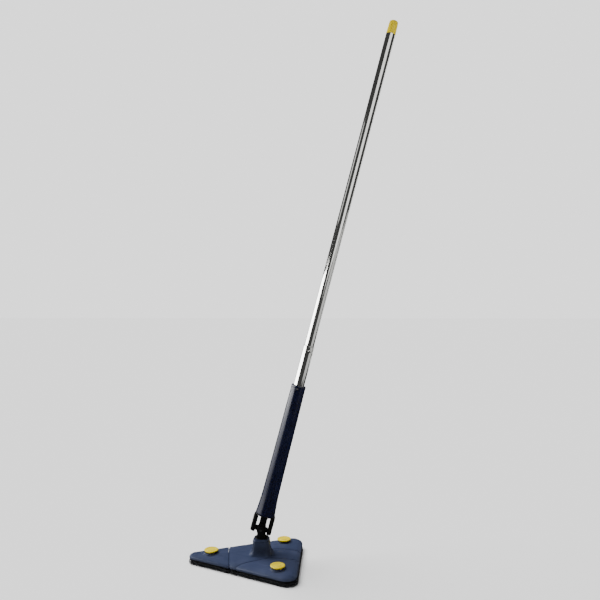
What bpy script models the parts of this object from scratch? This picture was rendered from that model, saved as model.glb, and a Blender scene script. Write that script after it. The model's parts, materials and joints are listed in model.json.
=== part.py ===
"""Triangular flat mop with a leaning chrome pole, folding wings and a sliding squeeze sleeve.

Metres, +Z up. The origin is on the floor under the middle of the head's joint. The head's narrow
tip points along -X and its wide edge faces +X. The pole leans towards +X at rest.
"""

import math

import bmesh
import bpy
from mathutils import Matrix, Vector

MM = 0.001

# Head outline: a rounded isosceles triangle
TIP_X = -190.5 * MM
WIDE_X = 91.0 * MM
SIDE_ANGLE = math.radians(24.27)
TIP_RADIUS = 14.0 * MM
WIDE_RADIUS = 25.0 * MM
CORNER_STEPS = 8

# Head levels above the floor
PAD_TOP = 8.9 * MM
BASE_BOTTOM = 9.3 * MM
BASE_TOP = 12.3 * MM
COVER_BOTTOM = 12.6 * MM
COVER_TOP = 26.4 * MM
COVER_WALL = 2.2 * MM

# Seams between the hub and its three wings
TIP_SEAM_X = -76.0 * MM
TIP_SEAM_SKEW = -0.179
SIDE_SEAM_Y = 27.0 * MM
SIDE_SEAM_BEND_X = 20.0 * MM
SIDE_SEAM_SLOPE = 0.507
TIP_SEAM_GAP = 2.6 * MM
SIDE_SEAM_GAP = 1.6 * MM
BASE_SETBACK = 3.4 * MM
FAR = 170.0 * MM

# Wing hinges
HINGE_Z = BASE_TOP
KNUCKLE_RADIUS = 2.9 * MM
KNUCKLE_BORE = 1.5 * MM
HINGE_PIN_RADIUS = 1.2 * MM
KNUCKLE_GAP = 0.5 * MM

# Pad release buttons
TIP_BUTTON = (-118.7 * MM, 0.0)
SIDE_BUTTON = (46.2 * MM, 76.5 * MM)
BUTTON_RADIUS = 16.6 * MM
BUTTON_TOP = 33.0 * MM
BUTTON_STEM = 12.4 * MM
BUTTON_FLANGE = 14.2 * MM
BUTTON_HOLE = 12.9 * MM
BOSS_RADIUS = 15.6 * MM
BOSS_BOTTOM = 22.6 * MM
BOSS_TOP = 27.6 * MM

# Neck and swivel
NECK_TOP = 56.7 * MM
RING_TOP = 63.2 * MM
NECK_BORE = 8.0 * MM
TURNTABLE_TOP = 65.3 * MM
CONE_TOP = 70.3 * MM
SPINDLE_RADIUS = 7.6 * MM

# Universal joint
PIVOT_Z = 83.5 * MM
LEAN = math.radians(14.69)
EAR_RADIUS = 8.5 * MM
EAR_INNER = 8.4 * MM
EAR_OUTER = 13.4 * MM
PIN_RADIUS = 3.0 * MM
PIN_BORE = 3.3 * MM
ARM_INNER = 14.7 * MM
ARM_OUTER = 25.0 * MM
CORE_HALF_WIDTH = 8.0 * MM
HUMP_RADIUS = 16.0 * MM
SHOULDER_RADIUS = 6.0 * MM

# Stations along the pole, measured from the joint
CORE_BOTTOM = 16.5 * MM
FLANGE_BOTTOM = 34.5 * MM
SLEEVE_BOTTOM = 36.5 * MM
SOCKET_TOP = 58.0 * MM
PLUG_TOP = 94.0 * MM
DRAW_PIN_AT = 109.0 * MM
SLEEVE_TRAVEL = 45.0 * MM
SLEEVE_TOP = 347.0 * MM
SLEEVE_SCREW_AT = 340.0 * MM
YOKE_SCREW_AT = 76.0 * MM
LOWER_TUBE_TOP = 441.0 * MM
SNAP_AT = 431.3 * MM
UPPER_TUBE_BOTTOM = 372.0 * MM
UPPER_TUBE_TOP = 1192.7 * MM
CAP_TOP = 1225.5 * MM

# Tubes
LOWER_TUBE_RADIUS = 12.5 * MM
UPPER_TUBE_RADIUS = 11.0 * MM
TUBE_WALL = 0.5 * MM
SNAP_TURN = math.radians(20.0)
SNAP_RADIUS = 3.6 * MM
SNAP_HOLE = 4.2 * MM

PARTS = None
CUTTERS = None
TILT = None


def clear_scene():
    """Remove every object of the open scene."""
    for item in list(bpy.data.objects):
        bpy.data.objects.remove(item, do_unlink=True)


def new_collection(name):
    """Make a collection and link it to the scene."""
    group = bpy.data.collections.new(name)
    bpy.context.scene.collection.children.link(group)
    return group


def material(name, colour, roughness, metallic=0.0):
    """A Principled material."""
    made = bpy.data.materials.new(name)
    made.use_nodes = True
    shader = made.node_tree.nodes["Principled BSDF"]
    shader.inputs["Base Color"].default_value = (*colour, 1.0)
    shader.inputs["Roughness"].default_value = roughness
    shader.inputs["Metallic"].default_value = metallic
    return made


def finish(obj, name, look, on_pole=False):
    """Name a part, give it its material and put it in the parts collection."""
    obj.name = name
    obj.data.name = name
    obj.data.materials.clear()
    obj.data.materials.append(look)
    PARTS.objects.link(obj)
    if on_pole:
        obj.parent = TILT
    return obj


def loose(mesh_or_curve, name="shape"):
    """An object that is in no collection yet."""
    return bpy.data.objects.new(name, mesh_or_curve)


def from_bmesh(bm, name="shape"):
    """Turn a bmesh into an unlinked object with outward faces."""
    bmesh.ops.recalc_face_normals(bm, faces=bm.faces)
    if bm.calc_volume(signed=True) < 0.0:
        bmesh.ops.reverse_faces(bm, faces=bm.faces)
    mesh = bpy.data.meshes.new(name)
    bm.to_mesh(mesh)
    bm.free()
    mesh.shade_smooth()
    mesh.set_sharp_from_angle(angle=math.radians(35.0))
    return loose(mesh, name)


def rod(radius, start, end, sides=24, end_radius=None):
    """A solid round bar between two points."""
    start = Vector(start)
    end = Vector(end)
    bm = bmesh.new()
    bmesh.ops.create_cone(
        bm, cap_ends=True, segments=sides, radius1=radius,
        radius2=radius if end_radius is None else end_radius, depth=(end - start).length)
    turn = (end - start).to_track_quat("Z", "Y").to_matrix().to_4x4()
    bm.transform(Matrix.Translation((start + end) / 2) @ turn)
    return from_bmesh(bm)


def stepped(start, direction, stages, sides=16):
    """A solid round bar whose (distance, radius) stages run along a direction from a point."""
    axis = Vector(direction).normalized()
    turn = axis.to_track_quat("Z", "Y").to_matrix()
    rings = []
    for distance, radius in stages:
        ring = []
        for step in range(sides):
            angle = 2 * math.pi * step / sides
            spoke = turn @ Vector((math.cos(angle), math.sin(angle), 0.0))
            ring.append(Vector(start) + axis * distance + spoke * radius)
        rings.append(ring)
    return loft(rings)


def block(low, high):
    """A box between two opposite corners."""
    low = Vector(low)
    high = Vector(high)
    bm = bmesh.new()
    bmesh.ops.create_cube(bm, size=1.0)
    bm.transform(Matrix.Translation((low + high) / 2) @ Matrix.Diagonal((*(high - low), 1.0)))
    return from_bmesh(bm)


def turned(profile, steps, closed=False):
    """Spin a profile of (radius, height) points, listed down its outer side, about Z."""
    count = len(profile)
    edges = [(i, i + 1) for i in range(count - 1)]
    if closed:
        edges.append((count - 1, 0))
    mesh = bpy.data.meshes.new("turned")
    mesh.from_pydata([(radius, 0.0, height) for radius, height in profile], edges, [])
    obj = loose(mesh, "turned")
    screw = obj.modifiers.new("Screw", "SCREW")
    screw.steps = steps
    screw.render_steps = steps
    screw.use_merge_vertices = True
    screw.merge_threshold = 0.00001
    screw.use_smooth_shade = True
    return obj


def tube(outer, wall, bottom, top, steps=32):
    """A plain round tube along Z."""
    inner = outer - wall
    return turned([(outer, top), (outer, bottom), (inner, bottom), (inner, top)], steps, closed=True)


def modify(obj, tool, operation, on_pole=False):
    """Join, cut or intersect obj with a tool, which goes to the cutters."""
    CUTTERS.objects.link(tool)
    tool.name = "cutter"
    tool.hide_render = True
    tool.display_type = "WIRE"
    if on_pole:
        tool.parent = TILT
    step = obj.modifiers.new(operation.title(), "BOOLEAN")
    step.operation = operation
    step.object = tool
    step.solver = "EXACT"
    return obj


def triangle(inset):
    """The sharp corners of the head's triangle, each side moved inwards by inset."""
    length = WIDE_X - TIP_X
    half = length * math.tan(SIDE_ANGLE)
    inradius = length * math.sin(SIDE_ANGLE) / (1.0 + math.sin(SIDE_ANGLE))
    centre = Vector((WIDE_X - inradius, 0.0))
    corners = (Vector((TIP_X, 0.0)), Vector((WIDE_X, -half)), Vector((WIDE_X, half)))
    return [centre + (corner - centre) * (1.0 - inset / inradius) for corner in corners]


def outline(inset):
    """Points of the rounded outline at an inset, counter-clockwise."""
    corners = triangle(inset)
    points = []
    for index, corner in enumerate(corners):
        before = (corner - corners[index - 1]).normalized()
        after = (corners[(index + 1) % 3] - corner).normalized()
        full = TIP_RADIUS if index == 0 else WIDE_RADIUS
        radius = max(full - inset, 1.5 * MM)
        half_turn = before.angle(after) / 2
        middle = (after - before).normalized()
        centre = corner + middle * (radius / math.cos(half_turn))
        start = Vector((before.y, -before.x))
        for step in range(CORNER_STEPS + 1):
            angle = 2 * half_turn * step / CORNER_STEPS
            swing = Matrix.Rotation(angle, 2) @ start
            points.append(centre + swing * radius)
    return points


def rounded_box(half_x, half_y, radius, steps=4):
    """Points of a rounded rectangle about the origin, counter-clockwise."""
    points = []
    for quarter in range(4):
        sign_x = (1, -1, -1, 1)[quarter]
        sign_y = (1, 1, -1, -1)[quarter]
        centre = Vector((sign_x * (half_x - radius), sign_y * (half_y - radius)))
        for step in range(steps + 1):
            angle = (quarter + step / steps) * math.pi / 2
            points.append(centre + Vector((math.cos(angle), math.sin(angle))) * radius)
    return points


def loft(rings):
    """Skin a stack of equal rings of 3D points and close both ends."""
    bm = bmesh.new()
    loops = [[bm.verts.new(point) for point in ring] for ring in rings]
    for lower, upper in zip(loops, loops[1:]):
        for i, corner in enumerate(lower):
            after = (i + 1) % len(lower)
            bm.faces.new((corner, lower[after], upper[after], upper[i]))
    bm.faces.new(list(reversed(loops[0])))
    bm.faces.new(loops[-1])
    return from_bmesh(bm)


def level(points, height):
    """Lift plan points to a height."""
    return [(point[0], point[1], height) for point in points]


def prism(points, bottom, top):
    """A straight-sided solid over a plan outline."""
    return loft([level(points, bottom), level(points, top)])


def tip_seam_x(y):
    """Where the tip seam runs at a given y."""
    return TIP_SEAM_X + TIP_SEAM_SKEW * y


def side_seam(gap, side):
    """The bent seam beside a side wing, from beyond the rim to beyond the wide edge."""
    y = SIDE_SEAM_Y + gap
    run = FAR * 0.9
    far_end = (SIDE_SEAM_BEND_X - run, side * (y + run * SIDE_SEAM_SLOPE))
    return [far_end, (SIDE_SEAM_BEND_X, side * y), (FAR, side * y)]


def tip_region(gap):
    """Plan of everything on the tip's side of the tip seam."""
    return [(tip_seam_x(FAR) - gap, FAR), (-2 * FAR, FAR), (-2 * FAR, -FAR), (tip_seam_x(-FAR) - gap, -FAR)]


def side_region(gap, side):
    """Plan of a side wing: side is -1 for the front, 1 for the back."""
    seam = side_seam(gap, side)
    return seam + [(FAR, side * FAR), (seam[0][0], side * FAR)]


def regions(gap_tip, gap_side):
    """The three wing plans, by wing name."""
    return {
        "tip": tip_region(gap_tip),
        "front": side_region(gap_side, -1),
        "back": side_region(gap_side, 1),
    }


def keep_only(obj, wing, gap_tip, gap_side, bottom, top):
    """Keep one wing's share of a full-size plate, or the hub's share."""
    if wing == "hub":
        for plan in regions(-gap_tip, -gap_side).values():
            modify(obj, prism(plan, bottom, top), "DIFFERENCE")
    else:
        modify(obj, prism(regions(gap_tip, gap_side)[wing], bottom, top), "INTERSECT")
    return obj


def cover_shell():
    """The whole triangular cover as a thin domed shell, open below."""
    outer = [(0.0, 12.6), (0.0, 15.0), (1.2, 17.6), (4.0, 20.4), (9.0, 22.8), (17.0, 24.4), (30.0, 25.5), (48.0, 26.4)]
    inner = [(0.0, 12.6), (0.0, 14.2), (1.4, 16.2), (4.4, 18.6), (9.0, 20.7), (16.0, 22.2), (28.0, 23.3), (46.0, 24.2)]
    rings = []
    for inset, height in reversed(inner):
        rings.append(level(outline(inset * MM + COVER_WALL), height * MM))
    for inset, height in outer:
        rings.append(level(outline(inset * MM), height * MM))
    return loft(rings)


def seam_lip(hinge):
    """The hub's rib under the tip seam, which closes the seam from below the visible groove."""
    levels = [(2.6, 12.6), (2.6, 15.0), (3.6, 17.2), (6.2, 19.2), (10.5, 21.0), (18.0, 22.4), (31.0, 23.4)]
    lip = loft([level(outline(inset * MM), height * MM) for inset, height in levels])
    near = TIP_SEAM_GAP / 2 - 0.4 * MM
    strip = [(tip_seam_x(FAR) - near, FAR), (tip_seam_x(-FAR) - near, -FAR),
             (tip_seam_x(-FAR) + 3 * MM, -FAR), (tip_seam_x(FAR) + 3 * MM, FAR)]
    modify(lip, prism(strip, 0.0, 60 * MM), "INTERSECT")
    low = along(hinge.middle, hinge.direction, -hinge.half_length - 2 * MM)
    high = along(hinge.middle, hinge.direction, hinge.half_length + 2 * MM)
    return modify(lip, rod(KNUCKLE_RADIUS + 0.6 * MM, low, high, 24), "DIFFERENCE")


def along(start, direction, distance):
    """A point at a distance along a direction."""
    return Vector(start) + Vector(direction) * distance


class Hinge:
    """A wing hinge: its axis and the direction in which its wing lies."""

    def __init__(self, middle, direction, outward, half_length):
        self.middle = Vector((middle[0], middle[1], HINGE_Z))
        self.direction = Vector((direction[0], direction[1], 0.0)).normalized()
        self.outward = Vector((outward[0], outward[1], 0.0)).normalized()
        self.half_length = half_length

    def spans(self):
        """Start and end of the five knuckles: even ones are the hub's, odd ones the wing's."""
        pitch = 2 * self.half_length / 5
        return [(-self.half_length + i * pitch + KNUCKLE_GAP / 2,
                 -self.half_length + (i + 1) * pitch - KNUCKLE_GAP / 2) for i in range(5)]

    def add_knuckles(self, plate, first, side):
        """Join every second knuckle, with its web, to a base plate and bore it for the pin."""
        reach = BASE_SETBACK + 2.5 * MM
        web_top = -0.4 * MM
        web_bottom = -2.7 * MM
        start_angle = math.asin(web_top / KNUCKLE_RADIUS)
        end_angle = 2 * math.pi + math.asin(web_bottom / KNUCKLE_RADIUS)
        section = []
        for step in range(15):
            angle = start_angle + (end_angle - start_angle) * step / 14
            section.append((KNUCKLE_RADIUS * math.cos(angle), KNUCKLE_RADIUS * math.sin(angle)))
        section += [(reach, web_bottom), (reach, web_top)]
        out = self.outward * side
        up = Vector((0.0, 0.0, 1.0))
        for start, end in self.spans()[first::2]:
            rings = []
            for place in (start, end):
                middle = along(self.middle, self.direction, place)
                rings.append([middle + out * u + up * h for u, h in section])
            modify(plate, loft(rings), "UNION")
        low = along(self.middle, self.direction, -self.half_length - 2 * MM)
        high = along(self.middle, self.direction, self.half_length + 2 * MM)
        modify(plate, rod(KNUCKLE_BORE, low, high, 12), "DIFFERENCE")

    def pin(self):
        """The steel pin."""
        low = along(self.middle, self.direction, -self.half_length)
        high = along(self.middle, self.direction, self.half_length)
        return rod(HINGE_PIN_RADIUS, low, high, 12)


def wing_hinges():
    """The three hinges by wing name."""
    skew = Vector((TIP_SEAM_SKEW, 1.0))
    return {
        "tip": Hinge((tip_seam_x(0.0), 0.0), skew, (-1.0, TIP_SEAM_SKEW), 30 * MM),
        "front": Hinge((56 * MM, -SIDE_SEAM_Y), (1.0, 0.0), (0.0, -1.0), 26 * MM),
        "back": Hinge((56 * MM, SIDE_SEAM_Y), (1.0, 0.0), (0.0, 1.0), 26 * MM),
    }


SCREW_SPOTS = {
    "hub": [(-58 * MM, 22 * MM), (-22 * MM, -36 * MM), (-22 * MM, 36 * MM), (68 * MM, 0.0)],
    "tip": [(-96 * MM, -18 * MM), (-96 * MM, 18 * MM)],
    "front": [(12 * MM, -62 * MM), (70 * MM, -56 * MM)],
    "back": [(12 * MM, 62 * MM), (70 * MM, 56 * MM)],
}
POST_RADIUS = 4.0 * MM
POST_TOP = 24.2 * MM
SCREW_TOP = 20.0 * MM


def build_plate(wing, hinges, looks):
    """A base plate, its cover, its pad and its screws."""
    base = prism(outline(0.6 * MM), BASE_BOTTOM, BASE_TOP)
    keep_only(base, wing, BASE_SETBACK, BASE_SETBACK, 0.0, 60 * MM)
    cover = cover_shell()
    keep_only(cover, wing, TIP_SEAM_GAP / 2, SIDE_SEAM_GAP / 2, 0.0, 60 * MM)
    if wing == "hub":
        modify(cover, seam_lip(hinges["tip"]), "UNION")
        for hinge in hinges.values():
            hinge.add_knuckles(base, 0, -1)
    else:
        hinges[wing].add_knuckles(base, 1, 1)
    pad = prism(outline(0.0), 0.0, PAD_TOP)
    keep_only(pad, wing, 0.3 * MM, 0.3 * MM, -10 * MM, 60 * MM)
    for number, (x, y) in enumerate(SCREW_SPOTS[wing], start=1):
        modify(base, rod(3.6 * MM, (x, y, 0.0), (x, y, 10.9 * MM), 16), "DIFFERENCE")
        modify(base, rod(1.8 * MM, (x, y, 0.0), (x, y, 20 * MM), 12), "DIFFERENCE")
        modify(cover, rod(POST_RADIUS, (x, y, COVER_BOTTOM), (x, y, POST_TOP), 16), "UNION")
        modify(cover, rod(1.7 * MM, (x, y, 0.0), (x, y, SCREW_TOP + 1 * MM), 12), "DIFFERENCE")
        screw = turned([(0.0, SCREW_TOP), (1.0 * MM, SCREW_TOP), (1.4 * MM, SCREW_TOP - 1.5 * MM),
                        (1.4 * MM, 10.6 * MM), (3.2 * MM, 10.6 * MM), (3.2 * MM, 9.6 * MM), (0.0, 9.6 * MM)], 12)
        screw.location = (x, y, 0.0)
        finish(screw, f"{wing}_screw_{number}", looks["steel"])
    return base, cover, pad


def add_button(wing, spot, cover, looks):
    """A pad release button in its hole, with the coil spring under it."""
    x, y = spot
    boss = stepped((x, y, 0.0), (0, 0, 1), [
        (BOSS_BOTTOM, BOSS_RADIUS), (BOSS_TOP - 0.8 * MM, BOSS_RADIUS), (BOSS_TOP, BOSS_RADIUS - 0.8 * MM)], 40)
    modify(cover, boss, "UNION")
    modify(cover, rod(BUTTON_HOLE, (x, y, 15 * MM), (x, y, 40 * MM), 40), "DIFFERENCE")
    top = BUTTON_TOP
    inside = BUTTON_STEM - 2.2 * MM
    flange_top = BOSS_BOTTOM - 2.4 * MM
    profile = [
        (0.0, top), (8.8 * MM, top), (9.2 * MM, top - 0.5 * MM), (10.4 * MM, top - 0.5 * MM),
        (10.8 * MM, top), (15.2 * MM, top - 0.2 * MM), (BUTTON_RADIUS, top - 1.3 * MM),
        (BUTTON_RADIUS, top - 2.1 * MM), (16.0 * MM, top - 2.6 * MM), (BUTTON_STEM, top - 2.6 * MM),
        (BUTTON_STEM, flange_top), (BUTTON_FLANGE, flange_top), (BUTTON_FLANGE, flange_top - 1.2 * MM),
        (inside, flange_top - 1.2 * MM), (inside, top - 2.2 * MM), (3.0 * MM, top - 2.2 * MM),
        (3.0 * MM, 16.0 * MM), (0.0, 16.0 * MM)]
    button = turned(profile, 32)
    button.location = (x, y, 0.0)
    finish(button, f"{wing}_button", looks["yellow"])
    spring = coil(5.6 * MM, 0.7 * MM, BASE_TOP + 1.2 * MM, top - 3.8 * MM, 5)
    spring.location = (x, y, 0.0)
    finish(spring, f"{wing}_button_spring", looks["steel"])


def coil(radius, wire, bottom, top, turns):
    """A compression spring about Z."""
    curve = bpy.data.curves.new("coil", "CURVE")
    curve.dimensions = "3D"
    curve.bevel_depth = wire
    curve.bevel_resolution = 1
    curve.use_fill_caps = True
    per_turn = 10
    count = turns * per_turn
    spline = curve.splines.new("POLY")
    spline.points.add(count)
    for i in range(count + 1):
        angle = 2 * math.pi * i / per_turn
        height = bottom + (top - bottom) * i / count
        spline.points[i].co = (radius * math.cos(angle), radius * math.sin(angle), height, 1.0)
    return loose(curve, "coil")


def build_neck(cover):
    """Join the flared neck tower to the hub cover and bore it for the spindle."""
    stages = [(25.0, 33.0, 26.0, 12.0), (27.0, 29.5, 24.4, 11.5), (30.5, 25.5, 22.2, 11.0),
              (36.0, 22.2, 20.2, 10.0), (44.0, 20.2, 18.8, 9.5), (56.7, 19.0, 18.0, 9.0)]
    rings = [level(rounded_box(half_x * MM, half_y * MM, radius * MM), height * MM)
             for height, half_x, half_y, radius in stages]
    modify(cover, loft(rings), "UNION")
    modify(cover, rod(NECK_BORE, (0, 0, 0), (0, 0, 90 * MM), 32), "DIFFERENCE")


def build_ring():
    """The bevelled ring that caps the neck."""
    stages = [(NECK_TOP + 0.3 * MM, 19.0, 18.0, 9.0), (59.0 * MM, 19.0, 18.0, 9.0), (RING_TOP, 16.0, 15.4, 8.0)]
    rings = [level(rounded_box(half_x * MM, half_y * MM, radius * MM), height)
             for height, half_x, half_y, radius in stages]
    ring = loft(rings)
    modify(ring, rod(NECK_BORE, (0, 0, 0), (0, 0, 90 * MM), 32), "DIFFERENCE")
    return ring


def build_swivel():
    """The clevis that turns in the neck and carries the lean pin, and its retaining nut."""
    floor = RING_TOP + 0.3 * MM
    profile = [(0.0, CONE_TOP), (6.0 * MM, CONE_TOP), (14.6 * MM, TURNTABLE_TOP), (15.4 * MM, TURNTABLE_TOP - 0.8 * MM),
               (15.4 * MM, floor), (SPINDLE_RADIUS, floor), (SPINDLE_RADIUS, 23.8 * MM),
               (5.0 * MM, 23.8 * MM), (5.0 * MM, 16.0 * MM), (0.0, 16.0 * MM)]
    clevis = turned(profile, 32)
    section = half_round(EAR_RADIUS, 0.0)
    section = [(x, PIVOT_Z + z) for x, z in section]
    section += [(-EAR_RADIUS, TURNTABLE_TOP - 1 * MM), (EAR_RADIUS, TURNTABLE_TOP - 1 * MM)]
    for side in (-1, 1):
        rings = [[(x, side * y, z) for x, z in section] for y in (EAR_INNER, EAR_OUTER)]
        modify(clevis, loft(rings), "UNION")
    modify(clevis, rod(PIN_BORE, (0, -20 * MM, PIVOT_Z), (0, 20 * MM, PIVOT_Z), 20), "DIFFERENCE")
    nut = tube(10.8 * MM, 5.5 * MM, 19.3 * MM, 23.5 * MM, 24)
    return clevis, nut


def build_cross():
    """The black cross block and its two steel pins, in the pole's frame."""
    half_x = CORE_HALF_WIDTH + 1.4 * MM
    half_y = EAR_INNER - 0.4 * MM
    cross = block((-half_x, -half_y, -8.4 * MM), (half_x, half_y, 8.4 * MM))
    bevel = cross.modifiers.new("Bevel", "BEVEL")
    bevel.width = 2.0 * MM
    bevel.segments = 2
    edge = math.asin(half_y / HUMP_RADIUS)
    section = [(half_y, 0.0)]
    for step in range(11):
        angle = edge * (1.0 - step / 5.0)
        section.append((HUMP_RADIUS * math.sin(angle), HUMP_RADIUS * math.cos(angle)))
    section.append((-half_y, 0.0))
    hump = loft([[(x, y, height) for y, height in section] for x in (-CORE_HALF_WIDTH, CORE_HALF_WIDTH)])
    modify(cross, hump, "UNION", True)
    reach = ARM_INNER - 0.4 * MM
    modify(cross, rod(SHOULDER_RADIUS, (-reach, 0, 0), (reach, 0, 0), 32), "UNION", True)
    modify(cross, rod(PIN_BORE, (0, -20 * MM, 0), (0, 20 * MM, 0), 20), "DIFFERENCE", True)
    for side in (-1, 1):
        start = (side * 4.2 * MM, 0, 0)
        modify(cross, rod(PIN_BORE, start, (side * 30 * MM, 0, 0), 20), "DIFFERENCE", True)
    lean_pin = rod(PIN_RADIUS, (0, -EAR_OUTER, 0), (0, EAR_OUTER, 0), 20)
    tilt_pins = {}
    for name, side in (("left", -1), ("right", 1)):
        tilt_pins[name] = rod(PIN_RADIUS, (side * 4.5 * MM, 0, 0), (side * (ARM_OUTER - 1.4 * MM), 0, 0), 20)
    return cross, lean_pin, tilt_pins


def half_round(radius, start_angle, steps=14):
    """Points of a half circle about the origin, counter-clockwise from an angle."""
    points = []
    for step in range(steps + 1):
        angle = start_angle + math.pi * step / steps
        points.append((radius * math.cos(angle), radius * math.sin(angle)))
    return points


def yoke_arm(side):
    """One arm: a leg with a round toe about the tilt pin, chamfered on its outer side."""
    rings = []
    for reach, radius, top in ((ARM_INNER, 10.0, 35.6), (18.4 * MM, 10.0, 35.6), (23.0 * MM, 9.4, 34.9),
                               (ARM_OUTER, 7.4, 30.0)):
        section = half_round(radius * MM, math.pi)
        section += [(radius * MM, top * MM), (-radius * MM, top * MM)]
        rings.append([(side * reach, y, height) for y, height in section])
    return loft(rings)


def build_yoke():
    """The black yoke: two arms, the flange, the core and the plug that holds the lower tube."""
    profile = [(0.0, PLUG_TOP), (10.6 * MM, PLUG_TOP), (11.6 * MM, PLUG_TOP - 2 * MM), (11.6 * MM, SOCKET_TOP),
               (17.0 * MM, SOCKET_TOP), (18.0 * MM, SLEEVE_BOTTOM + 4 * MM), (18.0 * MM, SLEEVE_BOTTOM - 0.4 * MM),
               (22.6 * MM, SLEEVE_BOTTOM - 0.4 * MM), (22.9 * MM, FLANGE_BOTTOM), (0.0, FLANGE_BOTTOM)]
    yoke = turned(profile, 40)
    modify(yoke, block((-CORE_HALF_WIDTH, -8 * MM, CORE_BOTTOM), (CORE_HALF_WIDTH, 8 * MM, FLANGE_BOTTOM + 1 * MM)), "UNION", True)
    for side in (-1, 1):
        modify(yoke, yoke_arm(side), "UNION", True)
    modify(yoke, rod(PIN_BORE, (-30 * MM, 0, 0), (30 * MM, 0, 0), 20), "DIFFERENCE", True)
    modify(yoke, rod(1.9 * MM, (0, 3 * MM, YOKE_SCREW_AT), (0, 20 * MM, YOKE_SCREW_AT), 12), "DIFFERENCE", True)
    return yoke


def build_lower_tube():
    """The wide chrome tube, with its draw slot, its screw hole and its snap hole."""
    lower = tube(LOWER_TUBE_RADIUS, TUBE_WALL, SOCKET_TOP + 0.3 * MM, LOWER_TUBE_TOP, 40)
    low = DRAW_PIN_AT - 2.6 * MM
    high = DRAW_PIN_AT + SLEEVE_TRAVEL + 2.6 * MM
    slot = block((-2.4 * MM, -20 * MM, low), (2.4 * MM, 20 * MM, high))
    modify(lower, slot, "DIFFERENCE", True)
    modify(lower, rod(1.9 * MM, (0, 3 * MM, YOKE_SCREW_AT), (0, 20 * MM, YOKE_SCREW_AT), 12), "DIFFERENCE", True)
    modify(lower, snap_bore(), "DIFFERENCE", True)
    return lower


def snap_direction():
    """The way the snap button points, square to the pole."""
    return Vector((math.sin(SNAP_TURN), -math.cos(SNAP_TURN), 0.0))


def snap_bore():
    """The cutter of every hole that the snap button passes through."""
    out = snap_direction()
    start = out * 5 * MM + Vector((0, 0, SNAP_AT))
    end = out * 20 * MM + Vector((0, 0, SNAP_AT))
    return rod(SNAP_HOLE, start, end, 20)


def build_bushes():
    """The plastic mouth bush of the lower tube and the slide bush of the upper tube."""
    inside = LOWER_TUBE_RADIUS - TUBE_WALL - 0.25 * MM
    mouth_bottom = LOWER_TUBE_TOP + 0.3 * MM
    mouth = turned([(UPPER_TUBE_RADIUS + 0.25 * MM, mouth_bottom + 1.6 * MM), (12.0 * MM, mouth_bottom + 1.6 * MM),
                    (12.6 * MM, mouth_bottom + 1.0 * MM), (12.6 * MM, mouth_bottom), (inside, mouth_bottom),
                    (inside, mouth_bottom - 24 * MM), (UPPER_TUBE_RADIUS + 0.25 * MM, mouth_bottom - 24 * MM)],
                   40, closed=True)
    modify(mouth, snap_bore(), "DIFFERENCE", True)
    end = UPPER_TUBE_BOTTOM - 0.3 * MM
    slide = turned([(9.0 * MM, end + 14 * MM), (10.2 * MM, end + 14 * MM), (10.2 * MM, end), (11.7 * MM, end),
                    (11.7 * MM, end - 5 * MM), (9.0 * MM, end - 5 * MM)], 32, closed=True)
    return mouth, slide


def build_sleeve():
    """The long tapered grip sleeve that slides on the lower tube."""
    stations = [(347.0, 16.6), (344.0, 17.0), (300.0, 17.4), (200.0, 18.3), (110.0, 19.3), (80.0, 19.9),
                (60.0, 21.0), (46.0, 22.1), (36.5, 22.8)]
    wall = 2.0
    outer = [(radius * MM, height * MM) for height, radius in stations]
    inner = [((radius - wall) * MM, height * MM) for height, radius in reversed(stations)]
    sleeve = turned(outer + inner, 48, closed=True)
    modify(sleeve, rod(1.9 * MM, (0, -13 * MM, SLEEVE_SCREW_AT), (0, -25 * MM, SLEEVE_SCREW_AT), 12), "DIFFERENCE", True)
    bush = turned([(12.8 * MM, SLEEVE_TOP - 0.5 * MM), (14.3 * MM, SLEEVE_TOP - 0.5 * MM),
                   (14.6 * MM, SLEEVE_TOP - 22 * MM), (12.8 * MM, SLEEVE_TOP - 22 * MM)], 32, closed=True)
    screw = stepped((0.0, 0.0, SLEEVE_SCREW_AT), (0, -1, 0), [
        (15.3 * MM, 1.6 * MM), (17.45 * MM, 1.6 * MM), (17.5 * MM, 2.4 * MM), (18.2 * MM, 1.7 * MM)])
    draw_block = rod(11.5 * MM, (0, 0, DRAW_PIN_AT - 9 * MM), (0, 0, DRAW_PIN_AT + 9 * MM), 32)
    modify(draw_block, rod(2.3 * MM, (0, -20 * MM, DRAW_PIN_AT), (0, 20 * MM, DRAW_PIN_AT), 12), "DIFFERENCE", True)
    draw_pin = rod(2.0 * MM, (0, -16.6 * MM, DRAW_PIN_AT), (0, 16.6 * MM, DRAW_PIN_AT), 12)
    return sleeve, bush, screw, draw_block, draw_pin


def build_upper():
    """The long chrome tube and its yellow end cap."""
    upper = tube(UPPER_TUBE_RADIUS, TUBE_WALL, UPPER_TUBE_BOTTOM, UPPER_TUBE_TOP, 40)
    modify(upper, snap_bore(), "DIFFERENCE", True)
    bottom = UPPER_TUBE_TOP + 0.3 * MM
    cap = turned([(0.0, CAP_TOP), (6.5 * MM, CAP_TOP - 0.3 * MM), (9.0 * MM, CAP_TOP - 1.4 * MM),
                  (10.2 * MM, CAP_TOP - 3.8 * MM), (11.2 * MM, bottom + 1 * MM), (11.2 * MM, bottom),
                  (10.2 * MM, bottom), (10.0 * MM, bottom - 24 * MM), (7.6 * MM, bottom - 24 * MM),
                  (7.6 * MM, bottom + 6 * MM), (0.0, bottom + 6 * MM)], 40)
    return upper, cap


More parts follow.
